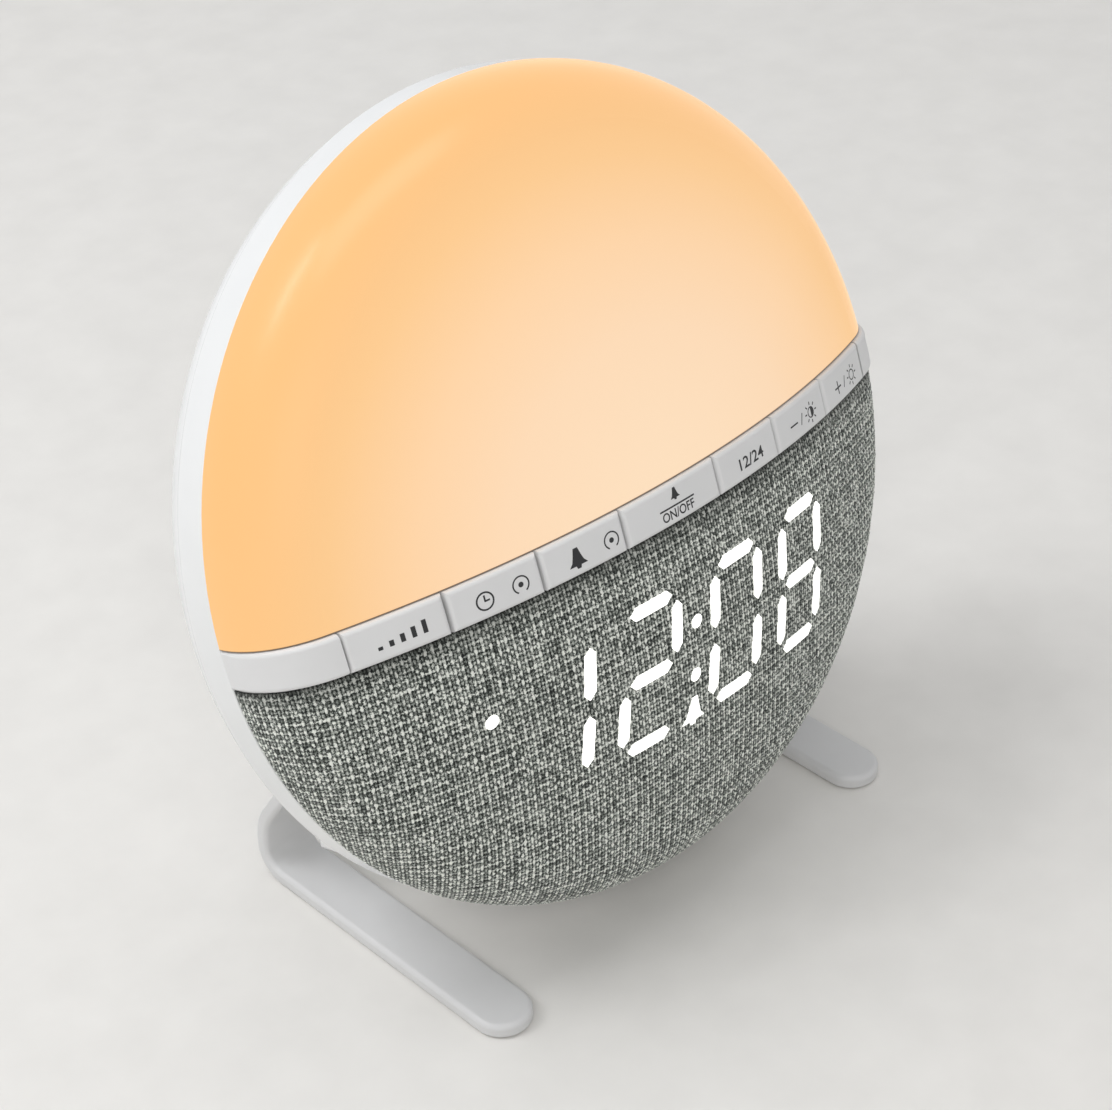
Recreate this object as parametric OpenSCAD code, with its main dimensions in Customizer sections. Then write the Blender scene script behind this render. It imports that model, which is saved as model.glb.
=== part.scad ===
// Sunrise alarm clock: a domed disc that leans back on two bent legs. The upper half of the dome is a lamp,
// the lower half is a display behind woven cloth, and a strip of seven push keys runs between them.
//
// The floor frame has X to the right, Y to the back and Z up, with the floor at zero.
// The face frame has x to the right, y up the disc and z forward, out of the dome. Its zero is the middle of
// the rim's back edge.
// The section frame looks down on the strip: x to the right, y forward out of the dome, z down the disc.

/* [Body] */
// Radius of the disc
disc_r = 87.5; // [86:0.5:92]
// Width of the white rim band
rim_w = 9; // [8:0.5:12]
// Height of the dome above the rim
dome_h = 34; // [32:0.5:37]
// Radius of the dome's shoulder
shoulder_r = 20; // [18:0.5:22]
// Wall of the moulded shells
wall = 2; // [1.6:0.1:2.2]
// Wall of the rim band
rim_wall = 2.4; // [2:0.1:2.8]
// Thickness of the cloth
cloth_t = 0.7; // [0.5:0.1:0.9]
// How far the disc leans back, in degrees
recline = 19; // [16:1:22]
// Gap between the rim and the floor
floor_gap = 2.1; // [1.5:0.1:4]

/* [Key strip] */
// Height of a key, up the disc
key_h = 8.4; // [7.4:0.2:9.4]
// Width of the fixed blank end on each side of the strip
strip_end_w = 13.95; // [13:0.05:15]
// Width of the wide key in the middle
wide_key_w = 26.5; // [24:0.5:28]
// Gap between neighbouring keys
key_gap = 0.5; // [0.4:0.1:0.7]
// How far the strip stands proud of the dome
strip_proud = 1.3; // [1:0.1:1.6]
// Rounding of the keys' edges
key_edge = 1; // [0.6:0.1:1.2]
// Travel of a key
key_travel = 0.5; // [0.3:0.1:0.6]
// Diameter of the stem under a key
stem_d = 3; // [2.4:0.2:3.6]

/* [Display] */
// Height between the top and bottom strokes of a digit
digit_h = 28.8; // [26:0.2:30]
// Distance between a digit's two columns
digit_w = 13.9; // [12.5:0.1:14.5]
// Width of a stroke
stroke_w = 2.8; // [2.2:0.1:3]
// Distance from one digit to the next
digit_pitch = 22.8; // [22:0.1:23.4]
// Extra distance across the colon
colon_gap = 2.4; // [2:0.1:3]
// Slant of the digits, in degrees
slant = 10; // [6:1:12]
// Middle of the digits below the disc's centre
digit_drop = 32.5; // [31:0.5:34]

/* [Rear housing] */
// Depth of the dished back behind the rim
dish_depth = 11; // [10:0.5:12]
// Depth of the pod behind the rim
pod_depth = 20; // [19:0.5:22]
// Width of the pod
pod_w = 129; // [128:1:132]
// Bottom of the pod below the disc's centre
pod_low = 59.5; // [58.5:0.5:61]
// Top of the pod above the disc's centre
pod_high = 12; // [10:1:16]
// Outer diameter of the loudspeaker
speaker_d = 40; // [36:1:42]
// How far the battery door reaches past the coin cell
door_margin = 2; // [1.8:0.1:2.5]

/* [Legs] */
// Width of a leg
leg_w = 13; // [11:0.5:14]
// Thickness of a leg
leg_t = 3.2; // [2.8:0.1:3.6]
// Distance of a leg from the middle
leg_x = 55; // [54.5:0.5:57]
// Length of the foot bar
foot_len = 77.5; // [74:0.5:82]
// Distance of the heel behind the disc's centre
heel_back = 24.9; // [23.5:0.1:26]
// How far the riser leans forward, in degrees
leg_lean = 34; // [31:1:36]
// Rounding of a leg's visible edges
leg_edge = 1.2; // [0.6:0.1:1.4]
// How far the rubber pads stand proud of the foot bars
pad_proud = 0.3; // [0.2:0.1:0.6]

/* [Hidden] */
$fn = 96;
cap_fn = 360;

// Clearances between pieces that slide and pieces that are fitted, round a screw and round its head
slide_gap = 0.2;
fit_gap = 0.2;
screw_room = 0.3;
head_room = 0.4;
// How far a cut runs past a face, and what is left below a blind hole
cut = 1;
blind_floor = 0.5;

// Dome meridian: a large cap arc that meets the shoulder arc where their tangents agree
shoulder_x = disc_r - shoulder_r;
cap_r = (pow(shoulder_x, 2) + pow(dome_h, 2) - pow(shoulder_r, 2)) / (2 * (dome_h - shoulder_r));
cap_z = rim_w + dome_h - cap_r;
tangent_angle = atan2(rim_w - cap_z, shoulder_x);
reach = 3 * disc_r;

// Rim band, bulkhead and the lips that centre the shells in the band
rim_inner = disc_r - rim_wall;
back_round = 1.2;
front_round = 0.35;
bulkhead_t = 2;
lip_t = 1.4;
lip_down = 2.5;
lip_up = 6;

// Strip: the slot between the two shells, and the arc of the keys' fronts
slot_h = key_h + 2 * slide_gap;
strip_z = cap_z + strip_proud;
key_pitch = (disc_r - strip_end_w - wide_key_w / 2) / 3;
side_edges = [for (k = [0:3]) wide_key_w / 2 + k * key_pitch];
flange_w = 1;
flange_t = 1.2;
flange_h = key_h + 2 * flange_w;
key_skin = 1.4;
key_front_t = 2;
stem_root = 0.5;
guide_room = 0.3;
under_shell = wall + cloth_t;
end_skin = 4.05;
end_sweep = tangent_angle + 10;
tongue_h = 6;

// Key board and switches, which lie flat behind the strip
board_t = 1.6;
key_board_z = 12.4;
switch_w = 6;
switch_h = 3.5;
plunger_d = 3.4;
plunger_h = 0.8;
plunger_z = key_board_z + board_t + switch_h + plunger_h;
stem_end_z = plunger_z + key_travel + 0.1;

// Carrier under the keys
carrier_wall = 1.3;
carrier_h = flange_h + 2 * (slide_gap + carrier_wall);
carrier_half = side_edges[3] + 2;
guide_t = 2;
rib_t = 2.6;
carrier_post_x = [-side_edges[2], -side_edges[0], side_edges[0], side_edges[2]];
carrier_screw_depth = 6;
carrier_hole_depth = 9;

// Display: seven strokes for each of four digits, a colon, a bell and a dot for the afternoon
digit_shift = -0.3;
digit_half = digit_pitch / 2 + colon_gap / 2;
digit_x = [
    -digit_half - digit_pitch, -digit_half,
    digit_half, digit_half + digit_pitch
];
stroke_gap = 0.75;
colon_r = 1.4;
colon_half = 5.75;
bell_drop = 13.2;
bell_r = 1.5;
bell_up = 1;
bell_waist = [1.9, -1.2];
bell_mouth = [3.1, -2.2];
clapper_r = 1.1;
clapper_y = -2.4;
stroke_trim = 1.2;
upright_trim = 1.9;
lens_gap = 0.05;
light_w = 1.8;
light_t = 0.8;
pm_dot = [-50.8, 7.1];
block_low = digit_drop + digit_h / 2 + 3.6;
block_high = digit_drop - digit_h / 2 - 3;
block_dot_side = 2.2;
block_digit_side = 5.45;
block_left = block_dot_side - pm_dot[0];
block_right = digit_shift + digit_x[3] + digit_w / 2 + block_digit_side;
lens_t = 2.5;
display_board_z = 18.4;
display_board_margin = 1.5;
display_screw_in = [3, 3.5];
display_screw_room = 3.5;
display_board_w = 2 * (block_left + display_screw_room + display_screw_in[0]);
display_front_z = display_board_z + board_t;
controller_size = [12, 12, 1.6];
controller_y = 4;
crystal_size = [10, 4, 3.4];
crystal_xy = [14, 6];
driver_size = [6, 9, 1.5];
driver_x = -22;
driver_pitch = 14;
capacitor_d = 8;
capacitor_h = 11;
capacitor_xy = [40, 2];

// Lamp: three arcs of chips on a half-round board
led_board_z = bulkhead_t + 1.2;
led_board_r = disc_r - 11.5;
led_board_low = 10;
led_rings = [34, 51, 68];
lamp_post_r = 60;
lamp_post_angles = [40, 140];
chip_pitch = 17;
chip_sweep = 2.5;
chip_margin = 6;
chip_room = 0.4;
chip_w = 5;
chip_t = 1.6;
baffle_gap = 0.4;
baffle_y = carrier_h / 2 + baffle_gap;
tray_t = 1;
tray_gap = 1;
flare_rise = 5;
reflector_t = 0.9;
reflector_z = led_board_z + board_t;
tail_x = 30;
tail_w = 16;
tail_low = -4;

// Cable sockets and the flat cables between them
key_plug_y = -3;
display_plug_y = -18;
ribbon_w = 11;
ribbon_t = 0.6;
ribbon_bend = 2;

// Rear housing
dish_rim_r = disc_r - back_round - 0.1;
dish_flat_r = dish_rim_r - dish_depth;
pod_round = 4;
pod_corner = 4.5;
boss_r = 3.6;
recess_boss_r = boss_r + 1;
screw_d = 2.6;
screw_head_d = 5.6;
screw_head_t = 1.8;
housing_screw_xy = [[-54, 38], [54, 38], [-59, -6], [59, -6], [0, -52]];
housing_boss_z = -6;
housing_seat_t = 2.5;

// Loudspeaker, behind the slots in the pod
speaker_y = -16;
speaker_flange_t = 1.2;
speaker_depth = 15;
magnet_d = 26;
magnet_t = 5;
slot_w = 2;
slot_pitch = 4;
slot_margin = 3.5;
ring_t = 1.5;
speaker_seat_h = wall + speaker_flange_t;
speaker_screw_angles = [30, 150, 270];
speaker_screw_r = speaker_d / 2 + 3;
speaker_boss_r = 3.2;
speaker_screw_len = 2;
speaker_head_d = 7.4;
speaker_head_t = 1;
basket_rim = 3;
basket_t = 0.8;
basket_seat = 1;
basket_hole_r = 7;
cone_low = 0.3;
cone_rise = 4.9;
cone_t = 0.8;
cone_r = 6;
coil_h = 4;

// Power socket and battery door, side by side in the pod
socket_xy = [-27, -43.5];
socket_nose_d = 9;
socket_bore_d = 6.4;
socket_pin_d = 2.1;
socket_body = [10, 12, 13];
socket_depth = 10;
socket_solder = 0.1;
power_board = [25, 16];
power_post_dx = 9.5;
small_screw_d = 1.6;
small_boss_r = 2.2;
small_hole_depth = 6;
small_head_d = 3.4;
small_head_t = 1.2;
small_screw_grip = 4;
cable_xy = [-28, -40.5];
cable_hole = [22, 8];
plug_size = [13, 4, 2.4];
door_xy = [27, -43.5];
cell_r = 10;
cell_t = 3.2;
door_d = 2 * (cell_r + door_margin);
door_t = 0.9;
lug_in = 0.3;
lug_r = door_d / 2 - lug_in;
lug_t = 0.8;
lug_angle = 24;
door_turn = 45;
cell_gap = 0.3;
ledge_r = cell_r + 2 * cell_gap;
cell_step = [1.2, 0.4];
cell_z = -pod_depth + wall + slide_gap + lug_t + fit_gap;
holder_t = 2;
cell_ring_gap = 0.4;
cell_ring_t = 1.4;
cell_ring_h = 8;
door_seat_gap = 0.1;
door_skin = 0.6;
hub_wall = 1.2;
lug_room = 6;
coin_slot = [13, 1.8, 0.5];

// Legs: a foot bar, a tight heel, a riser that leans forward, and a flange that lies on the pod's back
heel_r = 7;
heel_rise = 2;
riser_r = 18;
flange_r = 4;
seam = 0.01;
flange_len = 24;
leg_screw_y = [-33, -20];
leg_boss_h = 10;
leg_screw_grip = 8;
post_grip = 8;
pad_len = 16;
pad_w = 8;
pad_t = 1;
pad_from_tip = 13;
pad_from_heel = 16;

// Where the body stands: centred between the foot tips and the rearmost point of the dish
centre_h = floor_gap + disc_r * cos(recline);
front_reach = foot_len - heel_back;
rear_reach = dish_flat_r * sin(recline) + dish_depth;
centre_y = (front_reach - rear_reach) / 2;

white = [0.95, 0.95, 0.94];
satin = [0.86, 0.86, 0.86];
key_grey = [0.82, 0.82, 0.82];
lamp = [1, 0.84, 0.62];
cloth = [0.52, 0.54, 0.51];
board_green = [0.1, 0.4, 0.25];
dark = [0.15, 0.15, 0.16];
steel = [0.7, 0.7, 0.72];

// Front of the keys above the middle plane of the strip, at a distance x from the middle
function strip_front(x) = strip_z + sqrt(pow(cap_r, 2) - pow(x, 2));

// Underside of the shells at the flange's edge, less the clearance and the flange itself
function key_base(x) =
    cap_z + sqrt(pow(cap_r - under_shell, 2) - pow(x, 2) - pow(flange_h / 2, 2)) - slide_gap - flange_t;

// Top of the carrier's floor under a key
function guide_top(x) = key_base(x) - key_travel - guide_room;

function far(span) = max(abs(span[0]), abs(span[1]));

// The seven keys, from left to right, as pairs of edges
key_spans = [
    for (k = [2:-1:0]) [-side_edges[k + 1], -side_edges[k]],
    [-side_edges[0], side_edges[0]],
    for (k = [0:2]) [side_edges[k], side_edges[k + 1]]
];

// ---- frames ----

module upright() {
    translate([0, centre_y, centre_h])
        rotate([90 - recline, 0, 0])
            children();
}

module in_section() {
    rotate([90, 0, 0])
        children();
}

// ---- shared shapes ----

// Half outline of the dome, moved inward by inset and carried down past the rim by below
module meridian(inset, below) {
    intersection() {
        translate([0, cap_z])
            circle(cap_r - inset, $fn = cap_fn);
        translate([0, cap_z])
            polygon([[0, 0], [0, reach], reach * [cos(tangent_angle), sin(tangent_angle)]]);
        translate([0, rim_w])
            square([disc_r, reach]);
    }
    intersection() {
        translate([shoulder_x, rim_w])
            circle(shoulder_r - inset);
        translate([0, rim_w])
            square([disc_r, reach]);
    }
    if (below > 0)
        translate([0, rim_w - below])
            square([disc_r - inset, below]);
}

module dome(inset) {
    rotate_extrude()
        meridian(inset, cut);
}

// A shell of the dome between two insets, with the lip that centres it in the rim band
module dome_shell(outer, inner) {
    rotate_extrude(angle = 180) {
        difference() {
            meridian(outer, 0);
            meridian(inner, cut);
        }
        intersection() {
            translate([rim_inner - fit_gap - lip_t, rim_w - lip_down])
                square([lip_t, lip_down + lip_up]);
            meridian((outer + inner) / 2, lip_down + cut);
        }
    }
}

// A slice of a wheel with a rounded rim, in the section frame: it turns from one angle to another
module wheel(radius, depth, height, edge, from, to) {
    rotate([0, 0, from])
        rotate_extrude(angle = to - from, $fn = cap_fn)
            rim_section(radius, depth, height, edge, $fn = 32);
}

module rim_section(radius, depth, height, edge) {
    translate([radius - depth, -height / 2])
        square([depth - edge, height]);
    translate([radius - depth, -height / 2 + edge])
        square([depth, height - 2 * edge]);
    for (side = [-1, 1])
        translate([radius - edge, side * (height / 2 - edge)])
            circle(edge);
}

// A quarter of a disc, in the quadrant that the two signs give
module quarter(r, x_sign, y_sign) {
    intersection() {
        circle(r);
        translate([x_sign < 0 ? -2 * r : 0, y_sign < 0 ? -2 * r : 0])
            square(2 * r);
    }
}

module rounded_rect(size, r) {
    for (side = [-1, 1], end = [-1, 1])
        translate([side * (size[0] / 2 - r), end * (size[1] / 2 - r)])
            quarter(r, side, end);
    square([size[0] - 2 * r, size[1]], center = true);
    square([size[0], size[1] - 2 * r], center = true);
}

// A slot with round ends, centred, with its length along x
module stadium(length, width) {
    square([length - width, width], center = true);
    for (side = [-1, 1], end = [-1, 1])
        translate([side * (length - width) / 2, 0])
            quarter(width / 2, side, end);
}

// A pan-head screw at the origin: the head lies above zero and the shank below it
module screw(length, shank_d, head_d, head_t) {
    difference() {
        union() {
            translate([0, 0, -length])
                cylinder(d = shank_d, h = length + head_t / 2);
            cylinder(d = head_d, h = head_t);
        }
        for (a = [0, 90])
            rotate([0, 0, a])
                translate([-head_d / 3, -head_d / 12, head_t * 0.45])
                    cube([head_d / 1.5, head_d / 6, head_t]);
    }
}

// ---- rim and shells ----

module rim_frame() {
    color(white) upright()
        difference() {
            union() {
                rotate_extrude()
                    rim_profile();
                for (x = carrier_post_x)
                    translate([x, 0, 0])
                        cylinder(r = boss_r, h = key_board_z);
                for (p = display_posts())
                    translate([p[0], p[1], 0])
                        cylinder(r = boss_r, h = display_board_z);
                for (p = lamp_posts())
                    translate([p[0], p[1], 0])
                        cylinder(r = boss_r, h = led_board_z);
                for (p = housing_screw_xy)
                    translate([p[0], p[1], housing_boss_z])
                        cylinder(r = boss_r, h = -housing_boss_z);
            }
            // Through holes for the carrier's screws, and blind holes for the others
            for (x = carrier_post_x)
                translate([x, 0, -cut])
                    cylinder(d = screw_d + 2 * screw_room, h = key_board_z + 2 * cut);
            for (p = display_posts())
                translate([p[0], p[1], display_board_z - post_grip - blind_floor])
                    cylinder(d = screw_d, h = display_board_z);
            for (p = lamp_posts())
                translate([p[0], p[1], blind_floor])
                    cylinder(d = screw_d, h = led_board_z);
            for (p = housing_screw_xy)
                translate([p[0], p[1], housing_boss_z - cut])
                    cylinder(d = screw_d, h = cut + blind_floor - housing_boss_z);
            // Passage for the cable from the power board
            translate([cable_xy[0], cable_xy[1], -cut])
                linear_extrude(bulkhead_t + 2 * cut)
                    stadium(cable_hole[0], cable_hole[1]);
        }
}

// The band with its bulkhead: a large round on the back edge and a fine one on the front edge
module rim_profile() {
    translate([rim_inner, back_round])
        square([rim_wall, rim_w - back_round - front_round]);
    translate([rim_inner, rim_w - front_round])
        square([rim_wall - front_round, front_round]);
    translate([disc_r - front_round, rim_w - front_round])
        quarter(front_round, 1, 1);
    square([disc_r - back_round, back_round]);
    translate([disc_r - back_round, back_round])
        quarter(back_round, 1, -1);
    square([rim_inner, bulkhead_t]);
}

function display_posts() = [
    for (sx = [-1, 1], sy = [-1, 1])
        [sx * (display_board_w / 2 - display_screw_in[0]),
            sy * ((block_low - block_high) / 2 + display_board_margin - display_screw_in[1])
                - (block_low + block_high) / 2]
];

function lamp_posts() = [for (a = lamp_post_angles) lamp_post_r * [cos(a), sin(a)]];

module diffuser() {
    color(lamp) upright()
        difference() {
            dome_shell(0, wall);
            translate([-reach, -reach, -reach])
                cube([2 * reach, reach + slot_h / 2, 2 * reach]);
        }
}

module lower_shell() {
    color(white) upright()
        difference() {
            mirror([0, 1, 0])
                dome_shell(cloth_t, under_shell);
            translate([-reach, -slot_h / 2, -reach])
                cube([2 * reach, reach, 2 * reach]);
            linear_extrude(reach)
                block_outline(fit_gap);
        }
}

module fabric_cover() {
    color(cloth) upright()
        difference() {
            mirror([0, 1, 0])
                rotate_extrude(angle = 180)
                    difference() {
                        meridian(0, 0);
                        meridian(cloth_t, cut);
                    }
            translate([-reach, -slot_h / 2, -reach])
                cube([2 * reach, reach, 2 * reach]);
        }
}

// ---- key strip ----

// Outline of a key in the section frame: flat base, straight sides, front on the strip's arc, and rounded
// front corners
module key_outline(span, base) {
    difference() {
        intersection() {
            translate([0, strip_z])
                circle(cap_r, $fn = cap_fn);
            translate([span[0], base])
                square([span[1] - span[0], reach]);
        }
        for (side = [0, 1])
            corner_notch(span[side], side == 0 ? -1 : 1);
    }
}

// What a rounded corner takes away where the strip's arc meets a straight side at x
module corner_notch(x, side) {
    cx = x - side * key_edge;
    cz = sqrt(pow(cap_r - key_edge, 2) - pow(cx, 2));
    up = 4 * key_edge * [cx, cz] / (cap_r - key_edge);
    translate([cx, strip_z + cz])
        difference() {
            polygon([[0, 0], up, 4 * key_edge * [side, 1], 4 * key_edge * [side, 0]]);
            circle(key_edge);
        }
}

module key(index) {
    span = [key_spans[index][0] + key_gap / 2, key_spans[index][1] - key_gap / 2];
    width = span[1] - span[0];
    base = key_base(far(key_spans[index]));
    hollow_top = strip_front(far(span)) - key_front_t;
    stems = index == 3 ? [-width / 3, 0, width / 3] : [0];
    color(key_grey) upright() in_section() {
        difference() {
            union() {
                intersection() {
                    translate([0, strip_z, 0])
                        wheel(cap_r, cap_r / 4, key_h, key_edge, 60, 120);
                    linear_extrude(2 * key_h, center = true)
                        key_outline(span, base);
                }
                translate([span[0], base, -flange_h / 2])
                    cube([width, flange_t, flange_h]);
            }
            translate([span[0] + key_skin, base - cut, -key_h / 2 + key_skin])
                cube([width - 2 * key_skin, hollow_top - base + cut, key_h - 2 * key_skin]);
        }
        for (dx = stems)
            translate([(span[0] + span[1]) / 2 + dx, 0, 0])
                stem(dx == 0 ? stem_end_z : guide_top(far(key_spans[index])) - guide_t,
                    hollow_top + stem_root);
    }
}

module key_dimmer() {
    key(0);
}

module key_time() {
    key(1);
}

module key_alarm() {
    key(2);
}

module key_alarm_switch() {
    key(3);
}

module key_hour_format() {
    key(4);
}

module key_minus() {
    key(5);
}

module key_plus() {
    key(6);
}

module stem(from, to) {
    translate([0, from, 0])
        rotate([-90, 0, 0])
            cylinder(d = stem_d, h = to - from);
}

// Fixed end of the strip: it follows the shoulder's arc down to the rim, and hooks behind the rim band
module strip_end() {
    inner_x = side_edges[3] + key_gap / 2;
    outer_x = sqrt(pow(disc_r, 2) - pow(key_h / 2, 2));
    tongue_x = rim_inner - fit_gap - lip_t;
    color(key_grey) upright()
        in_section()
            difference() {
                union() {
                    translate([shoulder_x, rim_w + strip_proud, 0])
                        wheel(shoulder_r, end_skin, key_h, key_edge, 0, end_sweep);
                    translate([shoulder_x, rim_w, 0])
                        rotate([-90, 0, 0])
                            linear_extrude(strip_proud)
                                rim_section(shoulder_r, end_skin, key_h, key_edge, $fn = 32);
                    translate([tongue_x, rim_w - lip_down, -tongue_h / 2])
                        cube([lip_t, lip_down + lip_up, tongue_h]);
                }
                translate([inner_x - reach, -reach, -reach])
                    cube([reach, 2 * reach, 2 * reach]);
                translate([outer_x, 0, -reach])
                    cube([reach, reach, 2 * reach]);
            }
}

module strip_end_right() {
    strip_end();
}

module strip_end_left() {
    mirror([1, 0, 0])
        strip_end();
}

module key_carrier() {
    color(dark) upright() in_section()
        difference() {
            intersection() {
                translate([0, cap_z, -carrier_h / 2])
                    cylinder(r = cap_r - under_shell - slide_gap, h = carrier_h, $fn = cap_fn);
                translate([-carrier_half, key_board_z + board_t, -carrier_h / 2])
                    cube([2 * carrier_half, reach, carrier_h]);
            }
            for (index = [0:6])
                key_well(index);
            for (x = carrier_post_x)
                translate([x, key_board_z, 0])
                    rotate([-90, 0, 0])
                        cylinder(d = screw_d, h = carrier_hole_depth);
        }
}

// What the carrier leaves free for one key: the channel above the guide floor, the room below it, and the
// stem holes
module key_well(index) {
    span = key_spans[index];
    floor_z = guide_top(far(span));
    channel_h = flange_h + 2 * slide_gap;
    stems = index == 3 ? [-1, 0, 1] * (span[1] - span[0] - key_gap) / 3 : [0];
    translate([span[0] - (index == 0 ? key_gap : 0), floor_z, -channel_h / 2])
        cube([span[1] - span[0] + (index == 0 || index == 6 ? key_gap : 0), reach, channel_h]);
    translate([span[0] + rib_t, key_board_z, -channel_h / 2])
        cube([span[1] - span[0] - 2 * rib_t, floor_z - guide_t - key_board_z, channel_h]);
    for (dx = stems)
        translate([(span[0] + span[1]) / 2 + dx, key_board_z, 0])
            rotate([-90, 0, 0])
                cylinder(d = stem_d + 2 * slide_gap, h = floor_z);
}

module key_board() {
    color(board_green) upright()
        difference() {
            translate([-carrier_half, -carrier_h / 2, key_board_z])
                cube([2 * carrier_half, carrier_h, board_t]);
            for (x = carrier_post_x)
                translate([x, 0, key_board_z - cut])
                    cylinder(d = screw_d + 2 * screw_room, h = board_t + 2 * cut);
        }
}

module tact_switches() {
    color(dark) upright()
        for (span = key_spans)
            translate([(span[0] + span[1]) / 2, 0, key_board_z + board_t]) {
                translate([-switch_w / 2, -switch_w / 2, 0])
                    cube([switch_w, switch_w, switch_h]);
                cylinder(d = plunger_d, h = switch_h + plunger_h);
            }
}

// ---- lamp ----

// Each chip's place on the lamp board
function chip_places() = [
    for (r = led_rings)
        let (count = floor(chip_sweep * r / chip_pitch), low = asin((led_board_low + chip_margin) / r))
            for (k = [0:count - 1])
                let (a = low + (180 - 2 * low) * k / (count - 1))
                    r * [cos(a), sin(a)]
];

module led_board() {
    color([0.93, 0.93, 0.93]) upright()
        difference() {
            union() {
                intersection() {
                    translate([0, 0, led_board_z])
                        cylinder(r = led_board_r, h = board_t);
                    translate([-reach, led_board_low, 0])
                        cube([2 * reach, reach, reach]);
                }
                // Tail that passes under the baffle to the cable
                translate([tail_x - tail_w / 2, tail_low, led_board_z])
                    cube([tail_w, led_board_low + 1 - tail_low, board_t]);
            }
            for (p = lamp_posts())
                translate([p[0], p[1], 0])
                    cylinder(d = screw_d + 2 * screw_room, h = 2 * led_board_z + board_t);
        }
}

module led_chips() {
    color([1, 0.9, 0.55]) upright()
        for (p = chip_places())
            translate([p[0] - chip_w / 2, p[1] - chip_w / 2, led_board_z + board_t])
                cube([chip_w, chip_w, chip_t]);
}

// White tray round the chips, with a flared rim and the baffle that keeps the lamp's light off the display
module reflector() {
    flare_top = rim_w + flare_rise;
    flare_r = rim_inner - lip_t - tray_gap;
    color(white) upright()
        difference() {
            union() {
                intersection() {
                    rotate_extrude() {
                        translate([0, reflector_z])
                            square([led_board_r + tray_t, reflector_t]);
                        polygon([
                            [led_board_r, reflector_z], [led_board_r + tray_t, reflector_z],
                            [flare_r, flare_top], [flare_r - tray_t, flare_top]
                        ]);
                    }
                    translate([-reach, baffle_y, 0])
                        cube([2 * reach, reach, reach]);
                }
                intersection() {
                    translate([-reach, baffle_y, reflector_z])
                        cube([2 * reach, reflector_t, reach]);
                    dome(wall + baffle_gap);
                    cylinder(r = flare_r, h = reach);
                }
            }
            for (p = chip_places())
                translate([p[0], p[1], reflector_z])
                    cube([chip_w + 2 * chip_room, chip_w + 2 * chip_room, 3 * reflector_t], center = true);
            for (p = lamp_posts())
                translate([p[0], p[1], 0])
                    cylinder(d = screw_d + 2 * screw_room, h = reflector_z + 2 * reflector_t);
        }
}

// ---- display ----

// One stroke: a bar with pointed ends, centred, with its length along x
module stroke(length, width) {
    polygon([
        [-length / 2, 0], [-length / 2 + width / 2, width / 2], [length / 2 - width / 2, width / 2],
        [length / 2, 0], [length / 2 - width / 2, -width / 2], [-length / 2 + width / 2, -width / 2]
    ]);
}

// A digit leans with its slant, so upright strokes are sheared
module leaning() {
    multmatrix([[1, tan(slant), 0, 0], [0, 1, 0, 0], [0, 0, 1, 0]])
        children();
}

// Centre of each stroke of a digit, and whether it stands upright
stroke_places = [
    [0, digit_h / 2, false], [0, 0, false], [0, -digit_h / 2, false],
    for (sx = [-1, 1], sy = [-1, 1]) [sx * digit_w / 2, sy * digit_h / 4, true]
];

module digit_strokes(shrink) {
    for (s = stroke_places)
        translate([s[0], s[1]])
            rotate([0, 0, s[2] ? 90 : 0])
                stroke(
                    (s[2] ? digit_h / 2 - upright_trim : digit_w - stroke_trim) - 2 * stroke_gap - 2 * shrink,
                    stroke_w - 2 * shrink);
}

module bell_mark(shrink) {
    r = bell_r - shrink;
    waist = bell_waist - [shrink, 0];
    mouth = bell_mouth - [shrink, 0];
    translate([0, bell_up])
        circle(r);
    polygon([
        [-r, bell_up], [r, bell_up], waist, mouth,
        [-mouth[0], mouth[1]], [-waist[0], waist[1]]
    ]);
    translate([0, clapper_y])
        circle(clapper_r - shrink);
}

// Every mark that the display can light, with each outline drawn in by shrink
module display_marks(shrink) {
    translate([digit_shift, -digit_drop])
        leaning() {
            for (x = digit_x)
                translate([x, 0])
                    digit_strokes(shrink);
            for (sy = [-1, 1])
                translate([0, sy * colon_half])
                    circle(colon_r - shrink);
            translate([0, -bell_drop])
                bell_mark(shrink);
            translate(pm_dot)
                circle(colon_r - shrink);
        }
}

module block_outline(grow) {
    translate([-block_left - grow, -block_low - grow])
        square([block_left + block_right + 2 * grow, block_low - block_high + 2 * grow]);
}

module segment_block() {
    color(dark) upright()
        difference() {
            intersection() {
                translate([0, 0, display_front_z])
                    linear_extrude(reach)
                        block_outline(0);
                dome(cloth_t);
            }
            linear_extrude(reach)
                display_marks(0);
        }
}

module segment_lenses() {
    color(white) upright()
        intersection() {
            linear_extrude(reach)
                display_marks(lens_gap);
            difference() {
                dome(cloth_t);
                dome(cloth_t + lens_t);
            }
        }
}

module display_board() {
    color(board_green) upright()
        difference() {
            translate([-display_board_w / 2, -block_low - display_board_margin, display_board_z])
                cube([display_board_w, block_low - block_high + 2 * display_board_margin, board_t]);
            for (p = display_posts())
                translate([p[0], p[1], display_board_z - cut])
                    cylinder(d = screw_d + 2 * screw_room, h = board_t + 2 * cut);
        }
}

module display_leds() {
    color([1, 1, 0.9]) upright()
        translate([digit_shift, -digit_drop, display_front_z]) {
            for (x = digit_x, s = stroke_places)
                light_at(x + s[0], s[1]);
            for (y = [-colon_half, colon_half, -bell_drop])
                light_at(0, y);
            light_at(pm_dot[0], pm_dot[1]);
        }
}

// One light under a mark whose place is given before the digits lean
module light_at(x, y) {
    translate([x + y * tan(slant) - light_w / 2, y - light_w / 2, 0])
        cube([light_w, light_w, light_t]);
}

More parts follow.
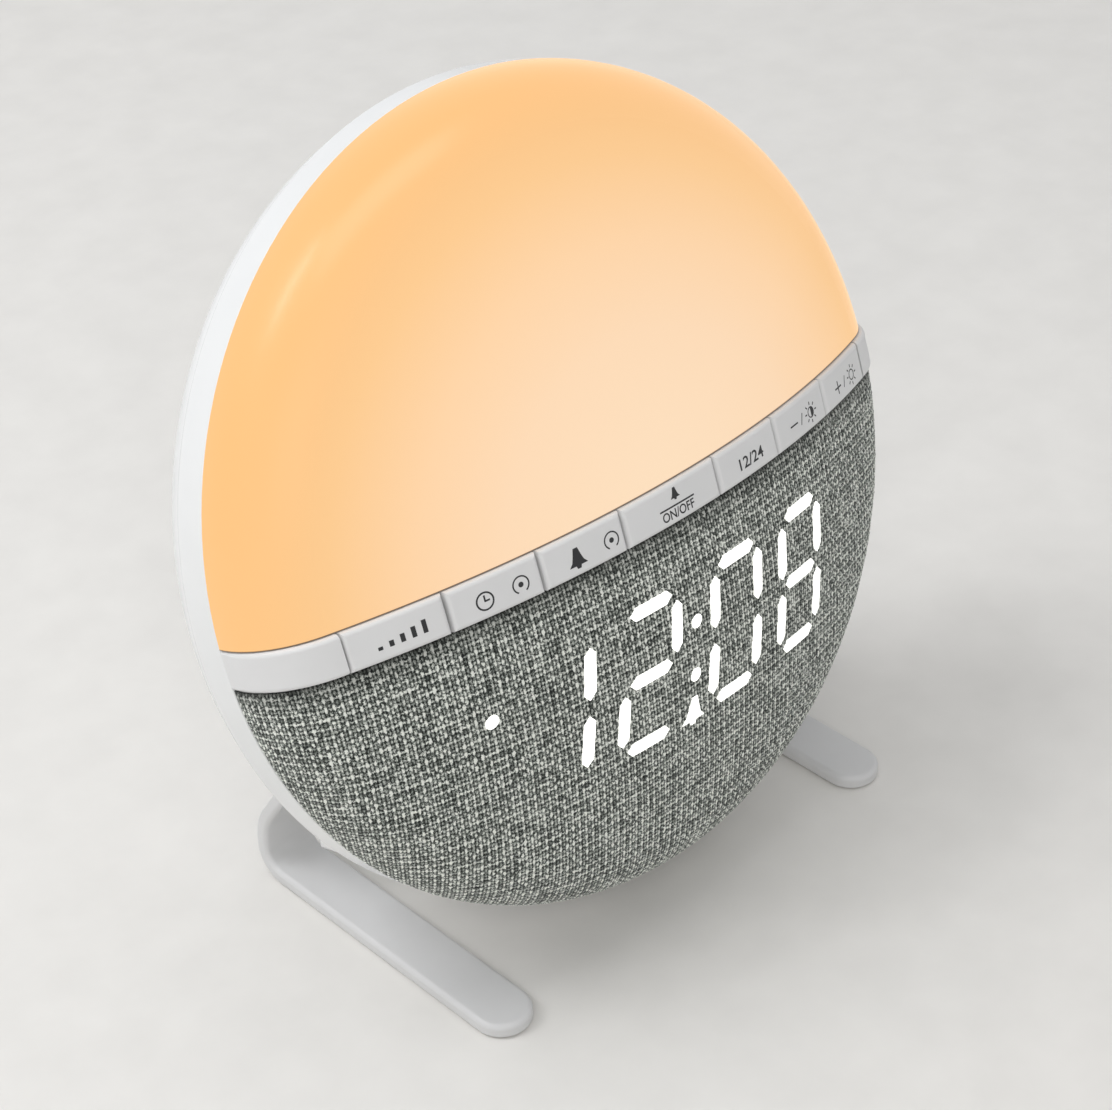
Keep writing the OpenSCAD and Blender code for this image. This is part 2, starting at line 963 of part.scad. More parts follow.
// Parts on the boards' backs: the controller, its crystal, two drivers and a capacitor, then a socket at each
// end of each cable
module board_components() {
    color(dark) upright() {
        translate([0, -digit_drop, display_board_z]) {
            on_back([0, controller_y], controller_size);
            on_back(crystal_xy, crystal_size);
            for (k = [0, 1])
                on_back([driver_x - k * driver_pitch, controller_y], driver_size);
            translate([capacitor_xy[0], capacitor_xy[1], -capacitor_h])
                cylinder(d = capacitor_d, h = capacitor_h);
        }
        translate([0, 0, display_board_z]) {
            for (x = [-tail_x, tail_x])
                on_back([x, display_plug_y], plug_size);
            on_back(cable_xy, plug_size);
        }
        translate([0, 0, key_board_z])
            on_back([-tail_x, key_plug_y], plug_size);
        translate([0, 0, led_board_z + board_t + plug_size[2]])
            on_back([tail_x, tail_low + plug_size[1] / 2], plug_size);
        translate([0, 0, power_board_z() + board_t + plug_size[2]])
            on_back(cable_xy, plug_size);
    }
}

// A block that hangs from a board's back, with its middle at xy
module on_back(xy, size) {
    translate([xy[0] - size[0] / 2, xy[1] - size[1] / 2, -size[2]])
        cube(size);
}

// ---- rear housing ----

// Dished back: a flat disc whose edge curves forward in a quarter round until it meets the rim. It runs past
// the rim's back edge by above.
module dish(inset, above) {
    round_r = dish_depth - inset;
    flat_r = dish_rim_r - dish_depth;
    mirror([0, 0, 1])
        rotate_extrude() {
            square([flat_r, round_r]);
            translate([flat_r, 0])
                quarter(round_r, 1, 1);
            if (above > 0)
                translate([0, -above])
                    square([flat_r + round_r, above]);
        }
}

// Pod: a rounded block whose back edges are rounded on all four sides
module pod(inset, above) {
    half_w = pod_w / 2 - inset;
    low = pod_low - inset;
    high = pod_high - inset;
    depth = pod_depth - inset;
    r = pod_round - inset;
    mid_y = (high - low) / 2;
    mirror([0, 0, 1])
        intersection() {
            translate([0, mid_y, -above])
                linear_extrude(depth + above)
                    rounded_rect([2 * half_w, high + low], pod_corner - inset / 2);
            rotate([90, 0, 0])
                linear_extrude(reach, center = true)
                    rounded_front(half_w, depth, r);
            translate([0, mid_y, 0])
                rotate([90, 0, 90])
                    linear_extrude(reach, center = true)
                        rounded_front((high + low) / 2, depth, r);
        }
}

// A rectangle that ends at depth, with its two far corners rounded
module rounded_front(half, depth, r) {
    translate([-half, -cut])
        square([2 * half, depth - r + cut]);
    translate([-half + r, depth - r])
        square([2 * half - 2 * r, r]);
    for (side = [-1, 1])
        translate([side * (half - r), depth - r])
            quarter(r, side, 1);
}

module rear_cover() {
    color(white) upright()
        difference() {
            union() {
                difference() {
                    rear_form();
                    dish(wall, cut);
                    pod(wall, cut);
                }
                intersection() {
                    rear_ribs();
                    rear_form();
                }
            }
            for (p = housing_screw_xy)
                translate([p[0], p[1], -pod_depth - cut]) {
                    cylinder(
                        d = screw_head_d + 2 * head_room,
                        h = pod_depth + cut + housing_boss_z - housing_seat_t);
                    cylinder(d = screw_d + 2 * screw_room, h = pod_depth + 2 * cut + housing_boss_z);
                }
            for (sx = [-1, 1], y = leg_screw_y)
                translate([sx * leg_x, y, -pod_depth - cut])
                    cylinder(d = screw_d, h = leg_boss_h - blind_floor + cut);
            for (p = power_posts())
                translate([p[0], p[1], power_board_z() - small_hole_depth])
                    cylinder(d = small_screw_d, h = small_hole_depth + cut);
            for (p = speaker_posts())
                translate([p[0], p[1], -pod_depth + speaker_seat_h - speaker_screw_len - head_room])
                    cylinder(d = small_screw_d, h = speaker_screw_len + head_room + cut);
            sound_slots();
            translate([socket_xy[0], socket_xy[1], -pod_depth - cut])
                cylinder(d = socket_nose_d + 2 * fit_gap, h = wall + 2 * cut);
            door_opening();
        }
}

module rear_form() {
    dish(0, 0);
    pod(0, 0);
}

// Everything that stands up inside the rear cover: screw bosses, the seats of loudspeaker and cell, and the
// two posts of the power board
module rear_ribs() {
    for (p = housing_screw_xy)
        translate([p[0], p[1], -pod_depth])
            cylinder(r = recess_boss_r, h = pod_depth + housing_boss_z);
    for (sx = [-1, 1], y = leg_screw_y)
        translate([sx * leg_x, y, -pod_depth])
            cylinder(r = boss_r, h = leg_boss_h);
    speaker_ring();
    cell_ring();
    for (p = power_posts())
        translate([p[0], p[1], -pod_depth])
            cylinder(r = small_boss_r, h = pod_depth + power_board_z());
}

module sound_slots() {
    radius = speaker_d / 2 - slot_margin;
    rows = floor(radius / slot_pitch);
    for (k = [-rows:rows])
        translate([0, speaker_y + k * slot_pitch, -pod_depth - cut])
            linear_extrude(wall + 2 * cut)
                stadium(2 * sqrt(pow(radius, 2) - pow(k * slot_pitch, 2)), slot_w);
}

// Ring round the loudspeaker's flange, with a boss for each screw
module speaker_ring() {
    bore_r = speaker_d / 2 + fit_gap;
    translate([0, 0, -pod_depth])
        difference() {
            union() {
                translate([0, speaker_y, 0])
                    cylinder(r = bore_r + ring_t, h = speaker_seat_h);
                for (p = speaker_posts())
                    translate([p[0], p[1], 0])
                        cylinder(r = speaker_boss_r, h = speaker_seat_h);
            }
            translate([0, speaker_y, -cut])
                cylinder(r = bore_r, h = speaker_seat_h + 2 * cut);
        }
}

function speaker_posts() = [
    for (a = speaker_screw_angles)
        [0, speaker_y] + speaker_screw_r * [cos(a), sin(a)]
];

// Ring inside the pod round the battery door, which holds the cell's tray
module cell_ring() {
    translate([door_xy[0], door_xy[1], -pod_depth])
        difference() {
            cylinder(r = lug_r + cell_ring_gap + cell_ring_t, h = cell_ring_h);
            translate([0, 0, -cut])
                cylinder(r = lug_r + cell_ring_gap, h = cell_ring_h + 2 * cut);
        }
}

// Recess for the door's disc, the ledge below it, and the notches that let its lugs in
module door_opening() {
    translate([door_xy[0], door_xy[1], -pod_depth]) {
        translate([0, 0, -cut])
            cylinder(r = door_d / 2 + slide_gap, h = cut + door_t + door_seat_gap);
        translate([0, 0, -cut])
            cylinder(r = ledge_r, h = wall + 2 * cut);
        for (k = [0:2])
            rotate([0, 0, door_turn + 120 * k])
                sector(lug_r + slide_gap, lug_angle + lug_room, wall + cut);
    }
}

// A wedge of a cylinder, centred on the x axis
module sector(radius, angle, height) {
    tip = 2 * radius * [cos(angle / 2), sin(angle / 2)];
    intersection() {
        cylinder(r = radius, h = height);
        linear_extrude(height)
            polygon([[0, 0], [tip[0], -tip[1]], tip]);
    }
}

// ---- loudspeaker ----

module speaker_frame() {
    back = -pod_depth + wall;
    magnet_top = back + speaker_depth - magnet_t;
    basket_r = speaker_d / 2 - basket_rim;
    seat_r = magnet_d / 2 - basket_seat;
    color(dark) upright()
        translate([0, speaker_y, 0])
            rotate_extrude() {
                translate([basket_r, back])
                    square([basket_rim, speaker_flange_t]);
                polygon([
                    [basket_r, back], [basket_r + basket_t, back],
                    [seat_r, magnet_top], [seat_r - basket_t, magnet_top]
                ]);
                translate([basket_hole_r, magnet_top - basket_t])
                    square([seat_r - basket_hole_r, basket_t]);
            }
}

module speaker_cone() {
    low = -pod_depth + wall + cone_low;
    high = low + cone_rise;
    edge_r = speaker_d / 2 - basket_rim - cone_low;
    color([0.3, 0.3, 0.3]) upright()
        translate([0, speaker_y, 0])
            rotate_extrude() {
                polygon([
                    [edge_r, low], [edge_r - cone_low, low + cone_t / 2],
                    [cone_r, high + cone_t], [cone_r, high]
                ]);
                translate([0, high])
                    square([cone_r + seam, cone_t]);
                translate([cone_r - cone_t, high + cone_t / 2])
                    square([cone_t, coil_h]);
            }
}

module speaker_magnet() {
    color(steel) upright()
        translate([0, speaker_y, -pod_depth + wall + speaker_depth - magnet_t])
            cylinder(d = magnet_d, h = magnet_t);
}

module speaker_screws() {
    color(steel) upright()
        for (p = speaker_posts())
            translate([p[0], p[1], -pod_depth + speaker_seat_h])
                screw(speaker_screw_len, small_screw_d, speaker_head_d, speaker_head_t);
}

// ---- power and battery ----

function power_board_z() = -pod_depth + wall + socket_body[2] + socket_solder;
function power_posts() = [for (s = [-1, 1]) [socket_xy[0] + s * power_post_dx, socket_xy[1]]];

module power_board() {
    color(board_green) upright()
        difference() {
            translate([socket_xy[0] - power_board[0] / 2, socket_xy[1] - power_board[1] / 2, power_board_z()])
                cube([power_board[0], power_board[1], board_t]);
            for (p = power_posts())
                translate([p[0], p[1], power_board_z() - cut])
                    cylinder(d = small_screw_d + 2 * fit_gap, h = board_t + 2 * cut);
        }
}

// Barrel socket: a square body behind the wall, with a round nose that comes flush with the pod's back
module power_socket() {
    color(dark) upright()
        translate([socket_xy[0], socket_xy[1], -pod_depth]) {
            difference() {
                union() {
                    cylinder(d = socket_nose_d, h = wall + cut);
                    translate([-socket_body[0] / 2, -socket_body[1] / 2, wall])
                        cube(socket_body);
                }
                translate([0, 0, -cut])
                    cylinder(d = socket_bore_d, h = socket_depth + cut);
            }
            cylinder(d = socket_pin_d, h = socket_depth + cut);
        }
}

module cell_holder() {
    color(dark) upright()
        translate([door_xy[0], door_xy[1], cell_z])
            difference() {
                cylinder(r = lug_r + fit_gap, h = cell_t + holder_t);
                translate([0, 0, -cut])
                    cylinder(r = cell_r + cell_gap, h = cell_t + cell_gap + cut);
            }
}

module coin_cell() {
    color(steel) upright()
        translate([door_xy[0], door_xy[1], cell_z]) {
            cylinder(r = cell_r, h = cell_t - cell_step[1]);
            cylinder(r = cell_r - cell_step[0], h = cell_t);
        }
}

// Coin-turn door: a disc with a coin slot, a hub that passes the ledge, and three lugs that hook behind it
module battery_door() {
    hub_r = ledge_r - slide_gap;
    hub_h = wall + slide_gap + lug_t;
    color(white) upright()
        translate([door_xy[0], door_xy[1], -pod_depth])
            difference() {
                union() {
                    cylinder(d = door_d, h = door_t);
                    cylinder(r = hub_r, h = hub_h);
                    for (k = [0:2])
                        rotate([0, 0, 120 * k])
                            translate([0, 0, wall + slide_gap])
                                sector(lug_r, lug_angle, lug_t);
                }
                translate([0, 0, door_t + door_skin])
                    cylinder(r = hub_r - hub_wall, h = hub_h);
                translate([-coin_slot[0] / 2, -coin_slot[1] / 2, -cut])
                    cube([coin_slot[0], coin_slot[1], coin_slot[2] + cut]);
            }
}

// ---- legs ----

// Half of a leg's cross-section: half its width along x and its thickness along y, with the visible face last
module half_section(inset) {
    low_edge = leg_edge / 2;
    half_w = leg_w / 2 - inset;
    thick = leg_t - 2 * inset;
    translate([0, inset]) {
        square([half_w - low_edge, low_edge]);
        translate([0, low_edge])
            square([half_w, thick - low_edge - leg_edge]);
        translate([0, thick - leg_edge])
            square([half_w - leg_edge, leg_edge]);
        translate([half_w - leg_edge, thick - leg_edge])
            quarter(leg_edge, 1, 1);
        translate([half_w - low_edge, low_edge])
            quarter(low_edge, 1, -1);
    }
}

// The whole cross-section, with its thickness along x and its width along y
module leg_section(inset) {
    mirror([1, -1])
        half_section(inset);
    mirror([0, 1])
        mirror([1, -1])
            half_section(inset);
}

// The path modules draw one stretch of a leg and carry their children to its end. The path runs along x,
// the leg's thickness lies along y, and its width along z.
//
// A straight is thinner than a bend by a seam too fine to see, and reaches back into the bend before it.
module straight(length) {
    translate([-5 * seam, 0, 0])
        rotate([90, 0, 90])
            linear_extrude(length + 5 * seam)
                leg_section(seam);
    translate([length, 0, 0])
        children();
}

// A bend towards the visible face, with its radius at the other face
module bend_in(radius, angle) {
    translate([0, radius, 0])
        rotate([0, 0, -90])
            rotate_extrude(angle = angle)
                translate([radius, 0])
                    mirror([1, 0])
                        leg_section(0);
    translate([0, radius, 0])
        rotate([0, 0, angle])
            translate([0, -radius, 0])
                children();
}

// A bend away from the visible face
module bend_out(radius, angle) {
    translate([0, -radius, 0])
        rotate([0, 0, 90])
            mirror([0, 1, 0])
                rotate_extrude(angle = angle)
                    translate([radius, 0])
                        leg_section(0);
    translate([0, -radius, 0])
        rotate([0, 0, -angle])
            translate([0, radius, 0])
                children();
}

// Half-round end of a leg, beyond the end of its path
module round_end() {
    rotate([-90, 0, 0])
        rotate([0, 0, -90])
            rotate_extrude(angle = 180)
                half_section(0);
}

module leg(side) {
    color(satin)
        difference() {
            translate([side * leg_x, centre_y - front_reach + leg_w / 2, pad_proud])
                rotate([90, 0, 90]) {
                    mirror([1, 0, 0])
                        round_end();
                    straight(foot_len - leg_w / 2 - heel_r)
                        bend_in(heel_r, 90)
                            straight(heel_rise)
                                bend_in(riser_r, leg_lean)
                                    straight(riser_len())
                                        bend_out(flange_r, leg_lean + recline)
                                            straight(flange_len)
                                                round_end();
                }
            for (y = pad_places())
                translate([side * leg_x, y, 0])
                    linear_extrude(pad_t)
                        rotate([0, 0, 90])
                            stadium(pad_len + 2 * fit_gap, pad_w + 2 * fit_gap);
            upright()
                for (y = leg_screw_y)
                    translate([side * leg_x, y, -pod_depth - leg_t - cut]) {
                        cylinder(d = screw_d + 2 * screw_room, h = leg_t + 2 * cut);
                        cylinder(d = screw_head_d + 2 * head_room, h = cut + screw_head_t);
                    }
        }
}

function pad_places() = [
    centre_y - front_reach + pad_from_tip,
    centre_y + heel_back - pad_from_heel
];

// Length of the riser that brings the flange's front face onto the pod's back. The points are those of the
// rear face where the riser starts and where the flange would start without a riser, given from the disc's
// centre.
function riser_len() =
    let (
        start = [heel_back - riser_r * (1 - cos(leg_lean)),
            pad_proud + heel_r + heel_rise + riser_r * sin(leg_lean) - centre_h],
        flange = start + flange_r * [cos(leg_lean) - cos(recline), sin(leg_lean) + sin(recline)],
        behind = flange[0] * cos(recline) - flange[1] * sin(recline)
    )
    (behind - pod_depth - leg_t) / sin(leg_lean + recline);

module leg_left() {
    leg(-1);
}

module leg_right() {
    leg(1);
}

module foot_pads() {
    color(dark)
        for (side = [-1, 1], y = pad_places())
            translate([side * leg_x, y, 0])
                linear_extrude(pad_t)
                    rotate([0, 0, 90])
                        stadium(pad_len, pad_w);
}

// ---- fasteners and cables ----

module housing_screws() {
    color(steel) upright()
        for (p = housing_screw_xy)
            translate([p[0], p[1], housing_boss_z - housing_seat_t])
                rotate([180, 0, 0])
                    screw(housing_seat_t - housing_boss_z - blind_floor, screw_d, screw_head_d, screw_head_t);
}

module leg_screws() {
    color(steel) upright()
        for (sx = [-1, 1], y = leg_screw_y)
            translate([sx * leg_x, y, -pod_depth - leg_t + screw_head_t])
                rotate([180, 0, 0])
                    screw(leg_t - screw_head_t + leg_screw_grip, screw_d, screw_head_d, screw_head_t);
}

module board_screws() {
    color(steel) upright() {
        for (x = carrier_post_x)
            translate([x, 0, 0])
                rotate([180, 0, 0])
                    screw(key_board_z + board_t + carrier_screw_depth, screw_d, screw_head_d, screw_head_t);
        for (p = display_posts())
            translate([p[0], p[1], display_front_z])
                screw(board_t + post_grip, screw_d, screw_head_d, screw_head_t);
        for (p = lamp_posts())
            translate([p[0], p[1], reflector_z + reflector_t])
                screw(reflector_z + reflector_t - 2 * blind_floor, screw_d, screw_head_d, screw_head_t);
        for (p = power_posts())
            translate([p[0], p[1], power_board_z() + board_t])
                screw(board_t + small_screw_grip, small_screw_d, small_head_d, small_head_t);
    }
}

// Flat cables: key board to display board, lamp board to display board, and power board to display board
module ribbon_cables() {
    plug_z = display_board_z - plug_size[2] / 2;
    power_plug_z = power_board_z() + board_t + plug_size[2];
    color([0.6, 0.6, 0.62]) upright() {
        ribbon(-tail_x, [key_plug_y - plug_size[1] / 2, key_board_z - plug_size[2] / 2],
            [display_plug_y + plug_size[1] / 2, plug_z]);
        ribbon(tail_x, [tail_low, reflector_z + plug_size[2] / 2],
            [display_plug_y + plug_size[1] / 2, plug_z]);
        translate([cable_xy[0] - ribbon_w / 2, cable_xy[1] - ribbon_t / 2, power_plug_z])
            cube([ribbon_w, ribbon_t, display_board_z - plug_size[2] - power_plug_z]);
    }
}

// A flat cable that leaves one socket down the disc, turns forward, and turns again into the other socket.
// Each end is given as its place up the disc and its height forward.
module ribbon(x, from, to) {
    turn_y = (from[0] + to[0]) / 2;
    half_t = ribbon_t / 2;
    translate([x - ribbon_w / 2, 0, 0])
        rotate([90, 0, 90])
            linear_extrude(ribbon_w) {
                translate([turn_y + ribbon_bend, from[1] - half_t])
                    square([from[0] - turn_y - ribbon_bend, ribbon_t]);
                translate([turn_y + ribbon_bend, from[1] + ribbon_bend])
                    quarter_ring(180);
                translate([turn_y - half_t, from[1] + ribbon_bend])
                    square([ribbon_t, to[1] - from[1] - 2 * ribbon_bend]);
                translate([turn_y - ribbon_bend, to[1] - ribbon_bend])
                    quarter_ring(0);
                translate([to[0], to[1] - half_t])
                    square([turn_y - ribbon_bend - to[0], ribbon_t]);
            }
}

module quarter_ring(turn) {
    rotate([0, 0, turn])
        difference() {
            quarter(ribbon_bend + ribbon_t / 2, 1, 1);
            circle(ribbon_bend - ribbon_t / 2);
        }
}

// ---- selection ----

rim_frame();
rear_cover();
diffuser();
lower_shell();
fabric_cover();
strip_end_left();
strip_end_right();
key_carrier();
key_dimmer();
key_time();
key_alarm();
key_alarm_switch();
key_hour_format();
key_minus();
key_plus();
key_board();
tact_switches();
led_board();
led_chips();
reflector();
segment_block();
segment_lenses();
display_board();
display_leds();
board_components();
speaker_frame();
speaker_cone();
speaker_magnet();
power_board();
power_socket();
cell_holder();
coin_cell();
battery_door();
leg_left();
leg_right();
foot_pads();
housing_screws();
leg_screws();
board_screws();
speaker_screws();
ribbon_cables();
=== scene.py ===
# %% [markdown]
# # Dressing a sunrise alarm clock in Blender
#
# The clock comes from CAD as 41 solids that already have the right shapes and sizes. This script gives
# them the finishes of the real object, and makes the pieces that CAD can't make well: the woven cloth,
# the lit digits that shine through it, and the ink on the keys. Each step says what the real thing is
# before it says how to make it.

# %% Load the CAD frame
import math

import bmesh
import bpy
from mathutils import Matrix, Vector, noise


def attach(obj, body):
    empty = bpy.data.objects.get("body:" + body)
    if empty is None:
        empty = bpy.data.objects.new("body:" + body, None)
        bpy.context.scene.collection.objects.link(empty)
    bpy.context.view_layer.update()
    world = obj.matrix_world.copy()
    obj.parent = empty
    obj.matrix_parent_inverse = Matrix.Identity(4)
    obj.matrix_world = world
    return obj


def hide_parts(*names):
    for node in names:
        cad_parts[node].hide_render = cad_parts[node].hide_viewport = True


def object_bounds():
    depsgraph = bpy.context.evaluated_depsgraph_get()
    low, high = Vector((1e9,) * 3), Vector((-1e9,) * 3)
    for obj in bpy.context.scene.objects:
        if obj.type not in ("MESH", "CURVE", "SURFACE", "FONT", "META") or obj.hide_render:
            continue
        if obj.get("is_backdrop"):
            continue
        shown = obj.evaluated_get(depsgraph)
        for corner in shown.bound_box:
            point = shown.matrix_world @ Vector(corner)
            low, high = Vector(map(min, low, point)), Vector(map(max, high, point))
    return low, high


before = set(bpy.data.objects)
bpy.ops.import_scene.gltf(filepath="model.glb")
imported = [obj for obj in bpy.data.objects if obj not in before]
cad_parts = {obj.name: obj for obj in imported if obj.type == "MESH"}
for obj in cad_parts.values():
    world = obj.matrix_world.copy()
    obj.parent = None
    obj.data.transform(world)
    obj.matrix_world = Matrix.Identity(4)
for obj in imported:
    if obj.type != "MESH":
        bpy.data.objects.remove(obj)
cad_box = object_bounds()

# %% [markdown]
# ## Where things are
#
# The disc leans back by 19 degrees, so it is easier to think on the disc itself. The face frame has x to
# the right, y up the disc and z out of the dome, in millimetres, with its zero in the middle of the rim's
# back edge. One function turns such a point into the scene's metres.

# %% The face frame
MM = 0.001
LEAN = math.radians(19)
CENTRE_Y, CENTRE_H = 8.558637, 84.832875


def from_face(x, y, z):
    """A point of the face frame, in mm, as a point of the scene, in metres."""
    across = CENTRE_Y + y * math.sin(LEAN) - z * math.cos(LEAN)
    up = CENTRE_H + y * math.cos(LEAN) + z * math.sin(LEAN)
    return Vector((x, across, up)) * MM


FACE_UP = (from_face(0, 1, 0) - from_face(0, 0, 0)).normalized()
FACE_OUT = (from_face(0, 0, 1) - from_face(0, 0, 0)).normalized()
print("middle of the disc:", [round(v, 4) for v in from_face(0, 0, 0)])

# %% [markdown]
# ## The dome's outline
#
# It is two arcs: a wide, shallow cap, and a tight shoulder that comes down to the rim. Cloth has to be
# laid over it by the length of the arc and not by its width as seen from the front, or the weave would
# look stretched round the shoulder. So the outline is written as a function of the arc's length.

# %% Two arcs
DISC_R, RIM_W, DOME_H, SHOULDER_R = 87.5, 9.0, 34.0, 20.0
SHOULDER_X = DISC_R - SHOULDER_R
CAP_R = (SHOULDER_X**2 + DOME_H**2 - SHOULDER_R**2) / (2 * (DOME_H - SHOULDER_R))
CAP_Z = RIM_W + DOME_H - CAP_R
CAP_ANGLE = math.atan2(SHOULDER_X, RIM_W - CAP_Z)
CAP_LEN = CAP_R * CAP_ANGLE
ARC_LEN = CAP_LEN + SHOULDER_R * (math.pi / 2 - CAP_ANGLE)


def outline_at(length):
    """Radius, height and slope of the dome at a length of arc from its top."""
    if length < CAP_LEN:
        a = length / CAP_R
        return CAP_R * math.sin(a), CAP_Z + CAP_R * math.cos(a), a
    a = CAP_ANGLE + (length - CAP_LEN) / SHOULDER_R
    return SHOULDER_X + SHOULDER_R * math.sin(a), RIM_W + SHOULDER_R * math.cos(a), a


def dome_z(x, y):
    """Height of the dome over a point of the face."""
    r = math.hypot(x, y)
    if r < CAP_R * math.sin(CAP_ANGLE):
        return CAP_Z + math.sqrt(CAP_R**2 - r**2)
    return RIM_W + math.sqrt(max(SHOULDER_R**2 - (r - SHOULDER_X) ** 2, 0))


print(f"cap arc {CAP_LEN:.1f} mm, whole arc {ARC_LEN:.1f} mm")

# %% [markdown]
# ## Helpers for materials
#
# Colours are easiest to name as the sRGB hex values that a colour picker shows, and Blender's sockets
# want linear light. A material is a small graph, so one function adds a node, sets it and joins it in a
# single line.

# %% Colours
def from_hex(hex_value, alpha=1.0):
    """An sRGB hex colour as linear red, green and blue, with alpha."""
    channels = [int(hex_value[i : i + 2], 16) / 255 for i in (1, 3, 5)]
    linear = [c / 12.92 if c <= 0.04045 else ((c + 0.055) / 1.055) ** 2.4 for c in channels]
    return (*linear, alpha)


print("half-way grey, #808080, is", round(from_hex("#808080")[0], 3), "in linear light")


# %% Nodes
def add_node(tree, kind, inputs=None, **settings):
    """Adds a node. Settings are its properties, and inputs gives its sockets a value, an output, or a
    node, whose first output is then taken."""
    node = tree.nodes.new(kind)
    for name, value in settings.items():
        setattr(node, name, value)
    for socket, value in (inputs or {}).items():
        if isinstance(value, bpy.types.Node):
            value = value.outputs[0]
        if isinstance(value, bpy.types.NodeSocket):
            tree.links.new(value, node.inputs[socket])
        else:
            node.inputs[socket].default_value = value
    return node


def set_stops(ramp_node, stops):
    """Fills a colour ramp with (position, hex) stops."""
    ramp = ramp_node.color_ramp
    while len(ramp.elements) < len(stops):
        ramp.elements.new(0.5)
    for element, (position, hex_value) in zip(ramp.elements, stops):
        element.position = position
        element.color = from_hex(hex_value)
    return ramp_node


def new_material(name):
    """An empty material, its node tree and its shader."""
    material = bpy.data.materials.new(name)
    material.use_nodes = True
    return material, material.node_tree, material.node_tree.nodes["Principled BSDF"]


# %% [markdown]
# Most of the clock is moulded plastic or coated metal, and what tells the two apart is small: how sharp
# the reflection is, and how rough the skin is. So one recipe serves them all. A noise gives the colour a
# slight drift, a second noise at the size of the real texture gives a bump, and each finish sets its own
# numbers.

# %% A moulded or coated skin
DRIFT_SCALE = 60.0  # per metre: patches about 17 mm across


def skin(name, light, dark, roughness, grain_mm, grain_depth_mm, ior=1.5, metallic=0.0):
    """A surface that drifts between two colours, with a fine grain of a real size and depth."""
    material, tree, shader = new_material(name)
    place = add_node(tree, "ShaderNodeTexCoord").outputs["Object"]
    drift = add_node(tree, "ShaderNodeTexNoise", {"Vector": place, "Scale": DRIFT_SCALE, "Detail": 3.0})
    tint = add_node(tree, "ShaderNodeValToRGB", {"Fac": drift.outputs["Fac"]})
    set_stops(tint, [(0.3, dark), (0.7, light)])
    tree.links.new(tint.outputs["Color"], shader.inputs["Base Color"])
    grain = add_node(tree, "ShaderNodeTexNoise",
                     {"Vector": place, "Scale": 1 / (grain_mm * MM), "Detail": 2.0})
    bump = add_node(tree, "ShaderNodeBump",
                    {"Height": grain.outputs["Fac"], "Distance": grain_depth_mm * MM})
    tree.links.new(bump.outputs["Normal"], shader.inputs["Normal"])
    shader.inputs["Roughness"].default_value = roughness
    shader.inputs["IOR"].default_value = ior
    shader.inputs["Metallic"].default_value = metallic
    return material


def dress(material, *names):
    """Puts a material on CAD nodes, whose meshes stay as they are."""
    for name in names:
        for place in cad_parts[name].material_slots:
            place.material = material
    print(material.name, "on", ", ".join(names))


# %% [markdown]
# ## The rim and the back: glossy ABS
#
# The band round the disc and the back housing are injection-moulded ABS from a polished tool. ABS has an
# IOR of 1.54. A polished tool leaves a clear but not mirror-sharp reflection, with the faint ripple
# called orange peel, about 1.5 mm across and only a few thousandths of a millimetre deep.

# %% Glossy ABS
ABS_IOR = 1.54
gloss_abs = skin("gloss_white_abs", "#E8E9E9", "#E5E6E6", 0.2, 1.5, 0.004, ior=ABS_IOR)
dress(gloss_abs, "rim_frame", "rear_cover", "battery_door")

# %% [markdown]
# ## The keys: satin ABS
#
# The keys are the same plastic from an etched tool. The etch is a fine sand, which spreads the reflection
# until the face looks silky, and a light grey pigment sets the keys off from the rim. The sand is drawn
# 0.25 mm across, coarser than the real one, because anything finer would not show at all.

# %% Satin ABS
KEYS = ["key_dimmer", "key_time", "key_alarm", "key_alarm_switch", "key_hour_format", "key_minus",
        "key_plus"]
satin_abs = skin("satin_grey_abs", "#E0E0E0", "#DCDCDC", 0.42, 0.25, 0.006, ior=ABS_IOR)
dress(satin_abs, "strip_end_left", "strip_end_right", *KEYS)

# %% [markdown]
# ## The legs: powder-coated steel, on rubber pads
#
# The legs are bent strip. Powder coat is melted on, so it draws into a soft ripple about 0.8 mm across
# and rounds over every edge. The eye reads it as smooth paint with a broad, soft shine. The pads under
# the foot bars are matt silicone rubber, which has a low IOR and hardly shines at all.

# %% Powder coat and rubber
powder_coat = skin("powder_coated_steel", "#D4D4D4", "#D0D0D0", 0.3, 0.8, 0.006)
dress(powder_coat, "leg_left", "leg_right")
rubber = skin("silicone_rubber", "#2A2A2A", "#222222", 0.75, 0.4, 0.02, ior=1.43)
dress(rubber, "foot_pads")

# %% [markdown]
# ## Inside the housing
#
# These pieces only show when the clock is taken apart, so each gets the plain finish it has in a
# factory: green solder mask, white solder mask on the lamp's board, matt black light boxes, plated steel
# and paper.

# %% Boards and lamps
green_mask = skin("green_solder_mask", "#2E7D50", "#1F6B40", 0.35, 1.2, 0.01)
dress(green_mask, "key_board", "display_board", "power_board")
dress(skin("white_solder_mask", "#F0F0EC", "#E6E6E2", 0.35, 1.2, 0.01), "led_board")
phosphor = skin("phosphor_silicone", "#F7DE7A", "#F0D060", 0.5, 0.2, 0.01, ior=1.41)
dress(phosphor, "led_chips", "display_leds")
dress(skin("pvc_cable", "#A9ABAF", "#9C9EA2", 0.5, 0.5, 0.01, ior=1.52), "ribbon_cables")

